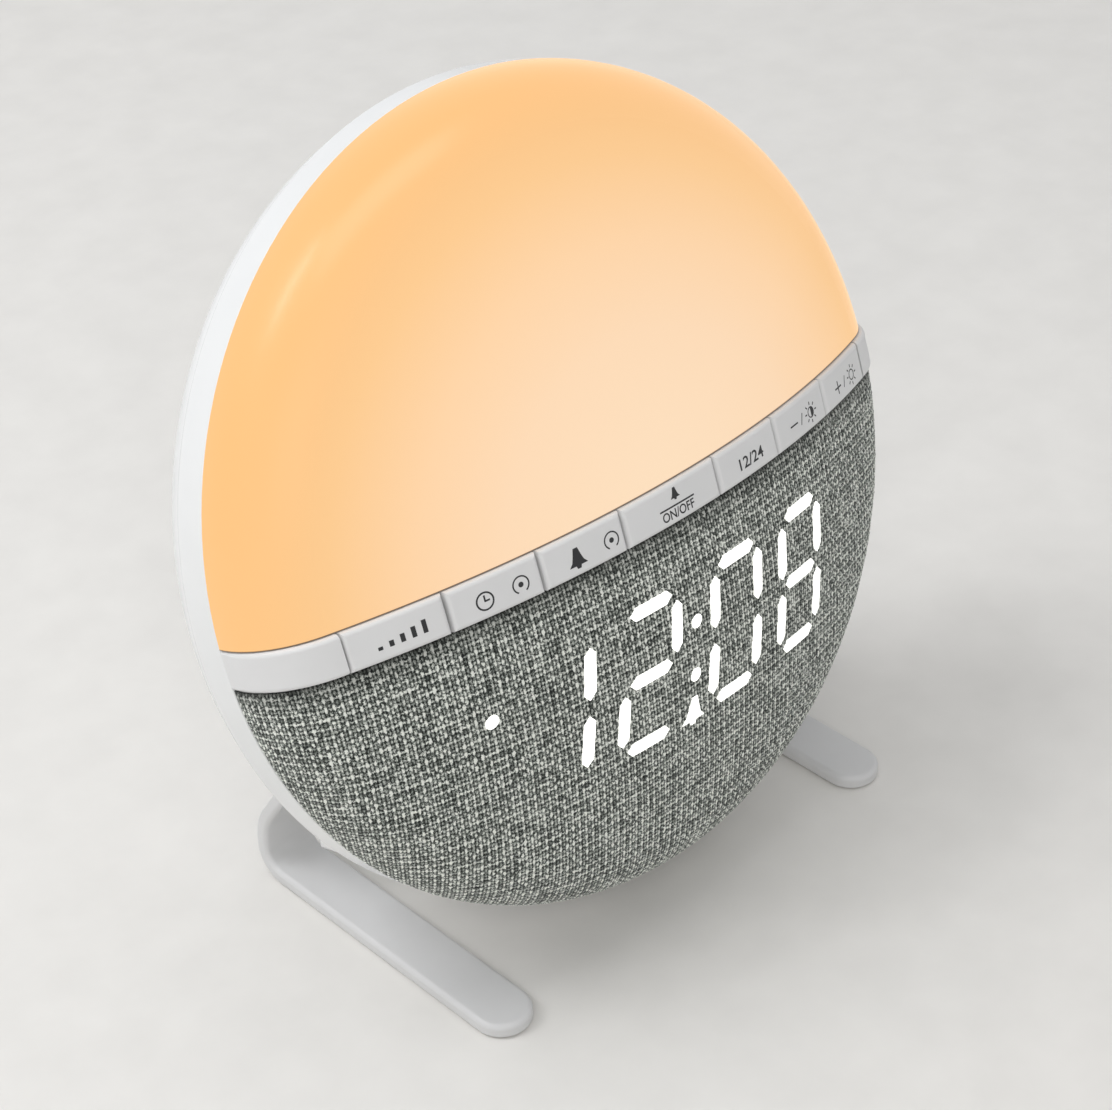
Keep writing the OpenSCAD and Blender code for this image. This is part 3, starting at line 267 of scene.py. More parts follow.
# %% Inner plastics
white_abs = skin("matt_white_abs", "#EDEDEA", "#E6E6E3", 0.6, 0.3, 0.01, ior=ABS_IOR)
dress(white_abs, "lower_shell", "reflector")
black_abs = skin("matt_black_abs", "#262626", "#1C1C1C", 0.6, 0.3, 0.01, ior=ABS_IOR)
dress(black_abs, "key_carrier", "tact_switches", "segment_block", "board_components", "power_socket",
      "cell_holder")
milky = skin("milky_polycarbonate", "#F3F5F5", "#E9ECEC", 0.3, 0.8, 0.004, ior=1.585)
dress(milky, "segment_lenses")

# %% Metal and paper
zinc = skin("zinc_plated_steel", "#B9BBC0", "#A6A8AD", 0.3, 0.3, 0.006, metallic=1.0)
dress(zinc, "speaker_frame", "speaker_magnet", "housing_screws", "leg_screws", "board_screws",
      "speaker_screws")
dress(skin("nickel_plated_can", "#C9C7C0", "#BEBCB5", 0.22, 0.5, 0.003, metallic=1.0), "coin_cell")
dress(skin("treated_paper", "#2B2B2D", "#1D1D1F", 0.85, 0.35, 0.03), "speaker_cone")

# %% [markdown]
# ## The diffuser: frosted polycarbonate, lit from inside
#
# The upper half of the dome is a milky polycarbonate shell with warm lamps behind it. The plastic
# scatters the light, so the shell itself seems to shine: palest in front of the lamps, near the strip,
# and deeper orange towards the rim, where less light arrives and more plastic stands in its way. Real
# scattering is slow and noisy to render and is lost in an exported model, so the glow is painted: a
# colour that depends on the distance from the lamps does the same for the eye. The emission carries
# this painted glow, and the base colour carries a share of it too, so it shows under any light.
#
# The shell's cut edge along the strip turns its back on the lamps, so it is painted as a thin brown line
# of shade.

# %% The lit dome
LAMP_HEART = from_face(0, -6, 20)
GLOW_REACH = 100 * MM
GLOW = [(0.25, "#FEE0BD"), (0.45, "#FDDAB4"), (0.6, "#FDD3A4"), (0.75, "#FAC88B"), (0.9, "#F8BE79")]
GLOW_STRENGTH = 0.735
BASE_GLOW_SHARE = 0.3  # share of the painted glow that the base colour carries as well
CUT_EDGE, CUT_SHADE, CUT_SOFT = 4.4, 0.08, 0.15
CUT_SHADE_COLOUR = "#6E5A47"


def lit_polycarbonate():
    material, tree, shader = new_material("frosted_polycarbonate_lit")
    place = add_node(tree, "ShaderNodeTexCoord").outputs["Object"]
    away = add_node(tree, "ShaderNodeVectorMath", {0: place, 1: LAMP_HEART}, operation="DISTANCE")
    share = add_node(tree, "ShaderNodeMath", {0: away.outputs["Value"], 1: GLOW_REACH},
                     operation="DIVIDE")
    glow = set_stops(add_node(tree, "ShaderNodeValToRGB", {"Fac": share}), GLOW)
    from_edge = add_node(tree, "ShaderNodeVectorMath", {0: place, 1: from_face(0, CUT_EDGE, 0)},
                         operation="SUBTRACT")
    up = add_node(tree, "ShaderNodeVectorMath", {0: from_edge, 1: FACE_UP}, operation="DOT_PRODUCT")
    # Painted shade: along the cut edge the glow turns into a thin brown band, which fades back into the
    # glow.
    inside = add_node(tree, "ShaderNodeMapRange",
                      {"Value": up.outputs["Value"], "From Min": CUT_SHADE * MM,
                       "From Max": (CUT_SHADE + CUT_SOFT) * MM})
    light = add_node(tree, "ShaderNodeMix", {"Factor": inside, "A": from_hex(CUT_SHADE_COLOUR), "B": glow},
                     data_type="RGBA")
    glow_share = (BASE_GLOW_SHARE, BASE_GLOW_SHARE, BASE_GLOW_SHARE, 1)
    # The base colour is the painted glow again, at that share of its strength.
    body = add_node(tree, "ShaderNodeMix", {"Factor": 1.0, "A": light.outputs["Result"], "B": glow_share},
                    data_type="RGBA", blend_type="MULTIPLY")
    tree.links.new(body.outputs["Result"], shader.inputs["Base Color"])
    tree.links.new(light.outputs["Result"], shader.inputs["Emission Color"])
    shader.inputs["Emission Strength"].default_value = GLOW_STRENGTH
    shader.inputs["Roughness"].default_value = 0.25
    shader.inputs["IOR"].default_value = 1.585
    return material


dress(lit_polycarbonate(), "diffuser")

# %% [markdown]
# ## The cloth
#
# The lower half is covered in a plain weave: each upright yarn, the warp, runs over one cross yarn, the
# weft, and under the next. A warp yarn comes every 0.82 mm and a weft yarn every 1.02 mm. The warp is
# thick and soft, so it shows as a row of beads, and the weft is thinner and pulled tighter.
#
# Both yarns swing by half a turn of a cosine from one crossing to the next, in opposite directions, and
# each is round across. So one short formula gives the height of the cloth anywhere: the higher of the
# two yarns. It is used twice, here for the shape of the mesh and later for the shading of fine detail.

# %% The height of a plain weave
WARP_PITCH, WEFT_PITCH = 0.815, 1.02
WARP_R, WEFT_R, SWING = 0.17, 0.12, 0.1
WARP_HALF, WEFT_HALF = 0.42, 0.27


def weave_height(u, v):
    """Height in mm over the middle of the sheet, with u and v counted in warp and weft yarns."""
    i, j = round(u), round(v)
    warp_swing = SWING * math.cos(math.pi * i) * math.cos(math.pi * v)
    weft_swing = -SWING * math.cos(math.pi * j) * math.cos(math.pi * u)
    warp = warp_swing + WARP_R * (1 - ((u - i) / WARP_HALF) ** 2)
    weft = weft_swing + WEFT_R * (1 - ((v - j) / WEFT_HALF) ** 2)
    return max(warp, weft)


print("over a bead", round(weave_height(0, 0), 2), "over a weft", round(weave_height(1, 0), 2))

# %% [markdown]
# A simulation would only pull the sheet tight over the dome, so it is laid directly, by the length of
# the arc. Yarn that looks hand-spun isn't straight or even, so noise makes it wander and swell. Near the
# sheet's edges the weave goes flat and dips a little, as the real cloth is tucked in.

# %% A point of the sheet
STRIP_EDGE = -4.4
HEM, TUCK = 1.0, 0.3
WANDER, WANDER_RATE = 0.12, 0.11
SWELL, SWELL_RATE, SWELL_STEP = 0.5, 0.3, 5.1
noise.seed_set(19)  # without a seed, this noise differs from run to run


def cloth_point(u, v):
    """A point of the sheet on the dome, and how far inside the sheet's edges it lies, in mm."""
    drift = noise.noise_vector(Vector((u * WANDER_RATE, v * WANDER_RATE, 3.0)))
    across = u * WARP_PITCH + WANDER * drift.x
    along = v * WEFT_PITCH + WANDER * drift.y
    length, turn = math.hypot(across, along), math.atan2(along, across)
    r, z, slope = outline_at(min(length, ARC_LEN))
    z -= max(length - ARC_LEN, 0)
    inside = min(ARC_LEN - length, STRIP_EDGE - r * math.sin(turn))
    flat = min(max(inside / HEM, 0), 1)
    swell = 1 + SWELL * noise.noise(Vector((round(u) * SWELL_STEP, v * SWELL_RATE, 8.0)))
    lift = flat * weave_height(u, v) * swell - (1 - flat) * TUCK
    r += math.sin(slope) * lift
    return (r * math.cos(turn), r * math.sin(turn), z + math.cos(slope) * lift), inside


print("40 yarns down from the middle it is", round(cloth_point(0, -40)[1], 1), "mm to the nearest edge")

# %% [markdown]
# The mesh takes four points for each crossing, and every point keeps its place in the weave and its way
# to the nearest edge for the shader. The grid of points runs on past the sheet's edges, and two plane
# cuts trim it: one along the strip and one along the rim.

# %% Lay the cloth over the dome
def weave_grid(mesh):
    """Fills a mesh with the points and faces of the sheet, two points to a yarn."""
    weave = mesh.verts.layers.float_vector.new("weave")
    hem = mesh.verts.layers.float.new("hem")
    columns = math.ceil(ARC_LEN / WARP_PITCH) + 2
    rows = math.ceil(ARC_LEN / WEFT_PITCH) + 2
    verts = {}
    for a in range(-2 * columns, 2 * columns + 1):
        for b in range(-2 * rows, 0):
            place, inside = cloth_point(a / 2, b / 2)
            if inside > -2 * WEFT_PITCH:
                verts[a, b] = mesh.verts.new(from_face(*place))
                verts[a, b][weave] = Vector((a / 2, b / 2, 0))
                verts[a, b][hem] = inside
    for a, b in verts:
        corners = [(a, b), (a + 1, b), (a + 1, b + 1), (a, b + 1)]
        if all(c in verts for c in corners):
            mesh.faces.new([verts[c] for c in corners])


def lay_cloth():
    """The trimmed sheet as a mesh, and its area."""
    mesh = bmesh.new()
    weave_grid(mesh)
    cuts = ((from_face(0, STRIP_EDGE, 0), FACE_UP), (from_face(0, 0, RIM_W), -FACE_OUT))
    for edge_point, outward in cuts:
        everything = list(mesh.verts) + list(mesh.edges) + list(mesh.faces)
        bmesh.ops.bisect_plane(mesh, geom=everything, plane_co=edge_point, plane_no=outward,
                               clear_outer=True)
    loose = [v for v in mesh.verts if not v.link_faces]
    bmesh.ops.delete(mesh, geom=loose, context="VERTS")
    for face in mesh.faces:
        face.smooth = True
    area = sum(face.calc_area() for face in mesh.faces)
    data = bpy.data.meshes.new("cloth")
    mesh.to_mesh(data)
    mesh.free()
    return data, area


# %% [markdown]
# A solidify modifier gives the sheet its thickness, downwards, so that the woven side stays where it is.

# %% The cloth's object
SHEET_T = 0.35
cloth_mesh, cloth_area = lay_cloth()
cloth = bpy.data.objects.new("cloth", cloth_mesh)
bpy.context.scene.collection.objects.link(cloth)
thick = cloth.modifiers.new("thickness", "SOLIDIFY")
thick.thickness = SHEET_T * MM
thick.offset = -1
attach(cloth, "body")
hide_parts("fabric_cover")
print("cloth:", len(cloth_mesh.vertices), "points,", round(cloth_area * 1e4, 1), "cm2")

# %% [markdown]
# Laid by arc length, the blank that the cloth is cut from is a half disc whose radius is the dome's
# arc, less the band under the strip.

# %% [markdown]
# ## The cloth's colours
#
# They come from the crossings too. Each point carries its place in the weave, counted in yarns, so the
# shader can find the crossing it belongs to and work out both yarns' heights again, and then it knows
# which one is on top. The yarns' sides are ragged, because loose fibres stand out from them, so a noise
# pushes each place a little before it is used.

# %% Where a point lies in the weave
FRAY_SCALE, RAGGED = 2.6, 1.1


def weave_parts(tree, woven):
    """The frayed place, its crossing, and how far each yarn has swung there and fallen off sideways."""
    frayed = add_node(tree, "ShaderNodeTexNoise", {"Vector": woven, "Scale": FRAY_SCALE, "Detail": 2.0})
    pushed = add_node(tree, "ShaderNodeVectorMath",
                      {0: frayed.outputs["Color"], 1: (RAGGED, RAGGED, 0), 2: woven},
                      operation="MULTIPLY_ADD")
    place = add_node(tree, "ShaderNodeVectorMath", {0: pushed, 1: (-RAGGED / 2, -RAGGED / 2, 0)},
                     operation="ADD")
    half_on = add_node(tree, "ShaderNodeVectorMath", {0: place, 1: (0.5, 0.5, 0)}, operation="ADD")
    crossing = add_node(tree, "ShaderNodeVectorMath", {0: half_on}, operation="FLOOR")
    side = add_node(tree, "ShaderNodeVectorMath", {0: place, 1: crossing}, operation="SUBTRACT")
    half_turn = (math.pi, math.pi, 0)
    turn_here = add_node(tree, "ShaderNodeVectorMath", {0: place, 1: half_turn}, operation="MULTIPLY")
    turn_yarn = add_node(tree, "ShaderNodeVectorMath", {0: crossing, 1: half_turn}, operation="MULTIPLY")
    wave_here = add_node(tree, "ShaderNodeVectorMath", {0: turn_here}, operation="COSINE")
    wave_yarn = add_node(tree, "ShaderNodeVectorMath", {0: turn_yarn}, operation="COSINE")
    width = add_node(tree, "ShaderNodeVectorMath", {0: side, 1: (1 / WARP_HALF, 1 / WEFT_HALF, 0)},
                     operation="MULTIPLY")
    fall = add_node(tree, "ShaderNodeVectorMath", {0: width, 1: width}, operation="MULTIPLY")
    parts = {"here": add_node(tree, "ShaderNodeSeparateXYZ", {0: wave_here}),
             "yarn": add_node(tree, "ShaderNodeSeparateXYZ", {0: wave_yarn}),
             "drop": add_node(tree, "ShaderNodeSeparateXYZ", {0: fall})}
    return place, crossing, parts


# %% [markdown]
# Slub yarn is light for a few millimetres and dark for the next. A noise that changes at once from yarn
# to yarn, and slowly along each, gives that, and every second yarn is a little lighter as well. The tone
# is a number that a colour ramp turns into greys later.

# %% One set of yarns
YARN_STEP = 7.3
SLUB_DETAIL, SLUB_ROUGH = 2.0, 0.8
WARP = {"along_x": False, "swing": SWING, "radius": WARP_R, "tone": -1.1, "parity": 0.15,
        "uneven": 1.6, "run_scale": 0.3, "seed": 1.0}
WEFT = {"along_x": True, "swing": -SWING, "radius": WEFT_R, "tone": -1.14, "parity": 0.05,
        "uneven": 1.6, "run_scale": 0.25, "seed": 9.0}


def yarn_set(tree, place, crossing, parts, along_x, swing, radius, tone, parity, uneven, run_scale, seed):
    """Height and tone of one set of yarns, from the crossing that a point belongs to."""
    across, along = ("Y", "X") if along_x else ("X", "Y")
    own_yarn = parts["yarn"].outputs[across]
    wave = add_node(tree, "ShaderNodeMath", {0: own_yarn, 1: parts["here"].outputs[along]},
                    operation="MULTIPLY")
    centre = add_node(tree, "ShaderNodeMath", {0: wave, 1: swing, 2: radius}, operation="MULTIPLY_ADD")
    height = add_node(tree, "ShaderNodeMath", {0: parts["drop"].outputs[across], 1: -radius, 2: centre},
                      operation="MULTIPLY_ADD")
    number_step = (0, YARN_STEP, 0) if along_x else (YARN_STEP, 0, 0)
    run_step = (run_scale, 0, 0) if along_x else (0, run_scale, 0)
    own_number = add_node(tree, "ShaderNodeVectorMath", {0: crossing, 1: number_step},
                          operation="MULTIPLY")
    run = add_node(tree, "ShaderNodeVectorMath", {0: place, 1: run_step, 2: own_number},
                   operation="MULTIPLY_ADD")
    spot = add_node(tree, "ShaderNodeVectorMath", {0: run, 1: (0, 0, seed)}, operation="ADD")
    slub = add_node(tree, "ShaderNodeTexNoise",
                    {"Vector": spot, "Scale": 1.0, "Detail": SLUB_DETAIL, "Roughness": SLUB_ROUGH})
    own = add_node(tree, "ShaderNodeMath", {0: own_yarn, 1: parity, 2: tone}, operation="MULTIPLY_ADD")
    return height, add_node(tree, "ShaderNodeMath", {0: slub, 1: uneven, 2: own}, operation="MULTIPLY_ADD")


# %% [markdown]
# Two things are painted darker along the sheet's edges: the first few millimetres under the strip, as
# painted shade of the strip, and every hem, as painted shade of the groove that it dips into.

# %% Shade along the edges
STRIP_SHADE, SHADE_REACH = 0.45, 5.5
GROOVE_SHADE = 0.3


def edge_shade(tree, woven):
    """1 in the open, and less under the strip and along the hems."""
    row = add_node(tree, "ShaderNodeSeparateXYZ", {0: woven})
    # Painted shade of the strip, darkest at its edge.
    shade = add_node(tree, "ShaderNodeMapRange",
                     {"Value": row.outputs["Y"], "To Min": 1.0, "To Max": STRIP_SHADE,
                      "From Min": (STRIP_EDGE - SHADE_REACH) / WEFT_PITCH,
                      "From Max": STRIP_EDGE / WEFT_PITCH})
    inside = add_node(tree, "ShaderNodeAttribute", attribute_name="hem").outputs["Fac"]
    # Painted shade along every hem, where the cloth dips into its groove.
    groove = add_node(tree, "ShaderNodeMapRange",
                      {"Value": inside, "From Max": HEM, "To Min": GROOVE_SHADE})
    return add_node(tree, "ShaderNodeMath", {0: shade, 1: groove}, operation="MULTIPLY")


# %% [markdown]
# The cloth is polyester yarn in greys from near black to off-white. It has next to no shine, only the
# faint sheen of its loose fibres. Low places get less light, so they are painted darker, and single
# fibres, drawn out along the warp, break up each bead.

# %% The woven material
# DEPTH_SHADE paints low points of the weave darker; YARN_COLOURS turns the yarns' own tone and this
# painted shade together into greys.
DEPTH_SHADE = 2.8
FIBRE, FIBRES_PER_YARN = 0.9, (4.0, 2.0, 0)
YARN_COLOURS = [(0.12, "#1C201E"), (0.38, "#545954"), (0.62, "#A2A7A0"), (0.88, "#F2F4ED")]


def woven_cloth():
    material, tree, shader = new_material("slub_plain_weave")
    woven = add_node(tree, "ShaderNodeAttribute", attribute_name="weave").outputs["Vector"]
    place, crossing, parts = weave_parts(tree, woven)
    warp, warp_tone = yarn_set(tree, place, crossing, parts, **WARP)
    weft, weft_tone = yarn_set(tree, place, crossing, parts, **WEFT)
    warp_on_top = add_node(tree, "ShaderNodeMath", {0: warp, 1: weft}, operation="GREATER_THAN")
    height = add_node(tree, "ShaderNodeMath", {0: warp, 1: weft}, operation="MAXIMUM")
    tone = add_node(tree, "ShaderNodeMix", {"Factor": warp_on_top, "A": weft_tone, "B": warp_tone})
    # Painted shade: the lower a point of the weave, the darker its tone.
    lit = add_node(tree, "ShaderNodeMath", {0: height, 1: DEPTH_SHADE, 2: tone},
                   operation="MULTIPLY_ADD")
    drawn = add_node(tree, "ShaderNodeVectorMath", {0: woven, 1: FIBRES_PER_YARN}, operation="MULTIPLY")
    fibre = add_node(tree, "ShaderNodeTexNoise",
                     {"Vector": drawn, "Scale": 1.0, "Detail": 2.0, "Roughness": 0.6})
    level = add_node(tree, "ShaderNodeMath", {0: fibre, 1: FIBRE, 2: lit}, operation="MULTIPLY_ADD")
    colour = set_stops(add_node(tree, "ShaderNodeValToRGB", {"Fac": level}), YARN_COLOURS)
    # The edges' painted shade darkens the cloth's colour.
    dim = edge_shade(tree, woven)
    shaded = add_node(tree, "ShaderNodeMix", {"Factor": 1.0, "A": colour, "B": dim}, data_type="RGBA",
                      blend_type="MULTIPLY")
    tree.links.new(shaded.outputs["Result"], shader.inputs["Base Color"])
    bump = add_node(tree, "ShaderNodeBump", {"Height": height, "Distance": MM, "Strength": 0.5})
    tree.links.new(bump.outputs["Normal"], shader.inputs["Normal"])
    shader.inputs["Roughness"].default_value = 0.9
    shader.inputs["Specular IOR Level"].default_value = 0.3
    shader.inputs["Sheen Weight"].default_value = 0.15
    return material


cloth.data.materials.append(woven_cloth())
print("the weave's material has", len(cloth.data.materials[0].node_tree.nodes), "nodes")

# %% [markdown]
# ## Inlays: one way to draw on a curved face
#
# The lit digits and the ink on the keys are both thin shapes that follow a curved face. Each is drawn
# flat as a list of polygons, cut into small faces, and laid on the surface as a closed plate. The
# surface is a function of x and y, so the same code serves the dome and the keys.

# %% Flat shapes
def disc(cx, cy, r, count=24):
    angles = [2 * math.pi * k / count for k in range(count)]
    return [[(cx + r * math.cos(a), cy + r * math.sin(a)) for a in angles]]


def ring(cx, cy, r, width, start=0.0, end=360.0, count=24):
    """A band round a circle, from one angle to another, as a row of four-sided faces."""
    inner, outer = r - width / 2, r + width / 2
    made = []
    for k in range(count):
        a, b = (math.radians(start + (end - start) * s / count) for s in (k, k + 1))
        corners = ((inner, a), (outer, a), (outer, b), (inner, b))
        made.append([(cx + q * math.cos(t), cy + q * math.sin(t)) for q, t in corners])
    return made


def line(x0, y0, x1, y1, width):
    n = width / 2 / math.hypot(x1 - x0, y1 - y0)
    sx, sy = (y1 - y0) * n, (x1 - x0) * n
    return [[(x0 - sx, y0 + sy), (x0 + sx, y0 - sy), (x1 + sx, y1 - sy), (x1 - sx, y1 + sy)]]


def resized(shape, factor, cx, cy):
    return [(x * factor + cx, y * factor + cy) for x, y in shape]


print("a line 3 mm long:", line(0, 0, 3, 0, 0.4))


# %% Cut a flat shape into small faces
def cut_flat(shapes, finest):
    """A flat mesh of the shapes, facing up, with no edge much longer than the finest size in mm."""
    mesh = bmesh.new()
    for shape in shapes:
        mesh.faces.new([mesh.verts.new((x, y, 0)) for x, y in shape])
    bmesh.ops.remove_doubles(mesh, verts=mesh.verts, dist=0.002)
    bmesh.ops.triangulate(mesh, faces=mesh.faces)
    for _ in range(4):
        long_edges = [e for e in mesh.edges if e.calc_length() > finest]
        if not long_edges:
            break
        bmesh.ops.subdivide_edges(mesh, edges=long_edges, cuts=1)
        bmesh.ops.triangulate(mesh, faces=mesh.faces)
    bmesh.ops.recalc_face_normals(mesh, faces=mesh.faces)
    for face in mesh.faces:
        if face.normal.z < 0:
            face.normal_flip()
    return mesh


# %% Lay a flat shape on a surface
def inlay(name, shapes, surface, proud, sunk, finest, material, body):
    """A closed plate that follows a surface, so many mm proud of it and so many sunk into it."""
    mesh = cut_flat(shapes, finest)
    made = bmesh.ops.extrude_face_region(mesh, geom=list(mesh.faces))
    raised = {v for v in made["geom"] if isinstance(v, bmesh.types.BMVert)}
    for v in mesh.verts:
        x, y = v.co.x, v.co.y
        v.co = from_face(x, y, surface(x, y) + (proud if v in raised else -sunk))
    bmesh.ops.recalc_face_normals(mesh, faces=mesh.faces)
    data = bpy.data.meshes.new(name)
    mesh.to_mesh(data)
    mesh.free()
    data.materials.append(material)
    piece = bpy.data.objects.new(name, data)
    bpy.context.scene.collection.objects.link(piece)
    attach(piece, body)
    print(name, "has", len(data.polygons), "faces")
    return piece


# %% [markdown]
# ## The digits
#
# Behind the cloth is a box of light cells, one for each stroke of each digit, with a clear insert that
# shines through the weave. From the front the eye sees white strokes with pointed ends, leaning by 10
# degrees, over the same cells that the CAD light box has. They show 12:08.

# %% Strokes of the digits
SLANT = math.tan(math.radians(10))
DIGIT_H, DIGIT_W, STROKE_W = 28.8, 13.9, 2.8
UPRIGHT_GAP, LEVEL_GAP = 3.4, 2.7
DIGIT_X = (-35.4, -12.6, 12.6, 35.4)
SHIFT, DROP = -0.3, 32.5
PLACES = {"top": (0, 1, 0), "middle": (0, 0, 0), "bottom": (0, -1, 0), "top_left": (-1, 0.5, 1),
          "bottom_left": (-1, -0.5, 1), "top_right": (1, 0.5, 1), "bottom_right": (1, -0.5, 1)}


def leaning(points):
    return [(x + SLANT * y + SHIFT, y - DROP) for x, y in points]


def stroke(cx, cy, upright):
    """A bar with pointed ends, shorter than its side of the digit by the gap at the corners."""
    half = ((DIGIT_H / 2 - UPRIGHT_GAP) if upright else (DIGIT_W - LEVEL_GAP)) / 2
    w = STROKE_W / 2
    bar = [(-half, 0), (-half + w, w), (half - w, w), (half, 0), (half - w, -w), (-half + w, -w)]
    return leaning([(cx - y, cy + x) if upright else (cx + x, cy + y) for x, y in bar])


# %% The digits 12:08
LIT = {
    "1": ("top_right", "bottom_right"),
    "2": ("top", "top_right", "middle", "bottom_left", "bottom"),
    "0": ("top", "top_left", "top_right", "bottom_left", "bottom_right", "bottom"),
    "8": tuple(PLACES),
}
COLON_Y, DOT_R = 5.75, 1.4
shown = []
for character, x in zip("1208", DIGIT_X):
    for place in LIT[character]:
        step_x, step_y, upright = PLACES[place]
        shown.append(stroke(x + step_x * DIGIT_W / 2, step_y * DIGIT_H / 2, upright))
for cy in (COLON_Y, -COLON_Y):
    shown.append(leaning(disc(0, cy, DOT_R)[0]))
print(len(shown), "lit strokes and dots")

# %% [markdown]
# A bell under the colon says that the alarm is set, and a dot at the upper left stands for the
# afternoon. Both are plain signs, drawn as outlines.

# %% The bell and the dot
BELL = [(-0.75, 2.6), (0.75, 2.6), (1.35, 0.4), (2.0, -1.4), (3.1, -2.6), (0.9, -2.6), (0.6, -3.5),
        (-0.6, -3.5), (-0.9, -2.6), (-3.1, -2.6), (-2.0, -1.4), (-1.35, 0.4)]
BELL_Y = -13.2
DOT_X, DOT_Y = -50.8, 7.1
shown.append(leaning(resized(BELL, 1, 0, BELL_Y)))
shown.append(leaning(disc(DOT_X, DOT_Y, DOT_R)[0]))
print(len(shown), "lit shapes in all")

# %% [markdown]
# White light that comes through cloth is dimmed a little by the yarns in its way, so it isn't quite
# even. The lit shapes stand 0.35 mm proud of the dome, just over the tops of the yarns.

# %% Light through the cloth
LIT_PROUD, LIT_SUNK, LIT_FINEST = 0.35, 0.15, 1.5


def lit_cloth():
    material, tree, shader = new_material("light_through_cloth")
    place = add_node(tree, "ShaderNodeTexCoord").outputs["Object"]
    yarns = add_node(tree, "ShaderNodeTexNoise",
                     {"Vector": place, "Scale": 1 / (WARP_PITCH * MM), "Detail": 2.0})
    tint = add_node(tree, "ShaderNodeValToRGB", {"Fac": yarns.outputs["Fac"]})
    set_stops(tint, [(0.25, "#EDEDE6"), (0.55, "#FFFFFB")])
    tree.links.new(tint.outputs["Color"], shader.inputs["Emission Color"])
    tree.links.new(tint.outputs["Color"], shader.inputs["Base Color"])
    shader.inputs["Emission Strength"].default_value = 1.0
    shader.inputs["Roughness"].default_value = 0.8
    return material


inlay("lit_digits", shown, dome_z, LIT_PROUD, LIT_SUNK, LIT_FINEST, lit_cloth(), "body")

# %% [markdown]
# ## The ink on the keys
#
# The keys are pad-printed: black ink a few hundredths of a millimetre thick, which sits on the plastic
# and follows it. Numbers are set in Blender's own font, a little bolder than it comes, and plain signs
# are drawn with lines and rings.

# %% Letters
BOLDER = 0.012


def letters(text, height, cx, cy, stretch=1.0):
    """Outlines of a text as flat faces, with its capitals at a height in mm and its middle at cx, cy."""
    curve = bpy.data.curves.new("letters", "FONT")
    curve.body = text
    curve.resolution_u = 4
    curve.offset = BOLDER
    holder = bpy.data.objects.new("letters", curve)
    bpy.context.scene.collection.objects.link(holder)
    bpy.context.view_layer.update()
    drawn = holder.evaluated_get(bpy.context.evaluated_depsgraph_get())
    flat = bpy.data.meshes.new_from_object(drawn)
    xs = [v.co.x for v in flat.vertices]
    ys = [v.co.y for v in flat.vertices]
    scale = height / (max(ys) - min(ys))
    mx, my = (min(xs) + max(xs)) / 2, (min(ys) + max(ys)) / 2
    points = [((x - mx) * scale * stretch + cx, (y - my) * scale + cy) for x, y in zip(xs, ys)]
    faces = [[points[i] for i in p.vertices] for p in flat.polygons]
    bpy.data.objects.remove(holder)
    bpy.data.curves.remove(curve)
    bpy.data.meshes.remove(flat)
    return faces


# %% Signs
SIGN_W, THIN_W = 0.35, 0.25
DASH_HALF = 1.45
SUN_R, RAY_START, RAY_END, RAY_W = 1.1, 1.6, 2.3, 0.3


def dash(cx, cy):
    return line(cx - DASH_HALF, cy, cx + DASH_HALF, cy, SIGN_W)


def slash(cx, cy):
    return line(cx - 0.5, cy - 1.15, cx + 0.5, cy + 1.15, THIN_W)


def sun(cx, cy, dimmed=False):
    """A ring with eight rays. The dimmed one has a dark right half."""
    made = ring(cx, cy, SUN_R, THIN_W)
    if dimmed:
        angles = [math.radians(a) for a in range(-90, 91, 15)]
        made.append([(cx + SUN_R * math.cos(a), cy + SUN_R * math.sin(a)) for a in angles])
    for k in range(8):
        c, s = math.cos(math.pi * k / 4), math.sin(math.pi * k / 4)
        made += line(cx + RAY_START * c, cy + RAY_START * s, cx + RAY_END * c, cy + RAY_END * s, RAY_W)
    return made


def clock_face(cx, cy):
    hands = line(cx, cy - 0.1, cx, cy + 1.2, SIGN_W) + line(cx - 0.15, cy, cx + 1.0, cy, SIGN_W)
    return ring(cx, cy, 1.75, SIGN_W) + hands


def hold_mark(cx, cy):
    """A dot in an open ring: press and hold."""
    return ring(cx, cy, 1.7, 0.3, start=-60, end=240) + disc(cx, cy, 0.55)


def rising_bars(cx, cy, count=5, gap=2.2, rise=0.5, width=0.9):
    """Bars that grow from left to right, for the lamp's brightness."""
    made = []
    for k in range(count):
        made += line(cx + gap * k, cy, cx + gap * k, cy + 0.7 + rise * k, width)
    return made


# %% [markdown]
# Each label sits in the middle of its key, given in millimetres on the face. The keys' fronts are one
# arc, which stands 1.3 mm proud of the dome, and the ink of each key rides on that key.

# %% Each key's label
KEY_PROUD = 1.3
INK_PROUD, INK_SUNK, INK_FINEST = 0.02, 0.05, 3.0
ink = skin("pad_print_ink", "#1F1F21", "#29292B", 0.55, 0.2, 0.003)
on_off = line(-4.1, -0.44, 5.6, -0.44, 0.34) + letters("ON/OFF", 2.0, 0.75, -1.95, 0.9)
plus_upright = line(60.45, 0.85, 60.45, -2.05, SIGN_W)
labels = {
    "key_dimmer": rising_bars(-67.5, -1.7),
    "key_time": clock_face(-46.3, -0.5) + hold_mark(-38.5, -0.4),
    "key_alarm": [resized(BELL, 0.7, -25.5, -0.2)] + hold_mark(-17.0, -0.4),
    "key_alarm_switch": [resized(BELL, 0.42, 0.7, 2.1)] + on_off,
    "key_hour_format": letters("12/24", 2.5, 24.15, -0.65, 1.12),
    "key_minus": dash(40.35, -0.5) + slash(43.5, -0.45) + sun(47.3, -0.5, dimmed=True),
    "key_plus": dash(60.45, -0.6) + plus_upright + slash(63.7, -0.55) + sun(67.6, -0.6),
}


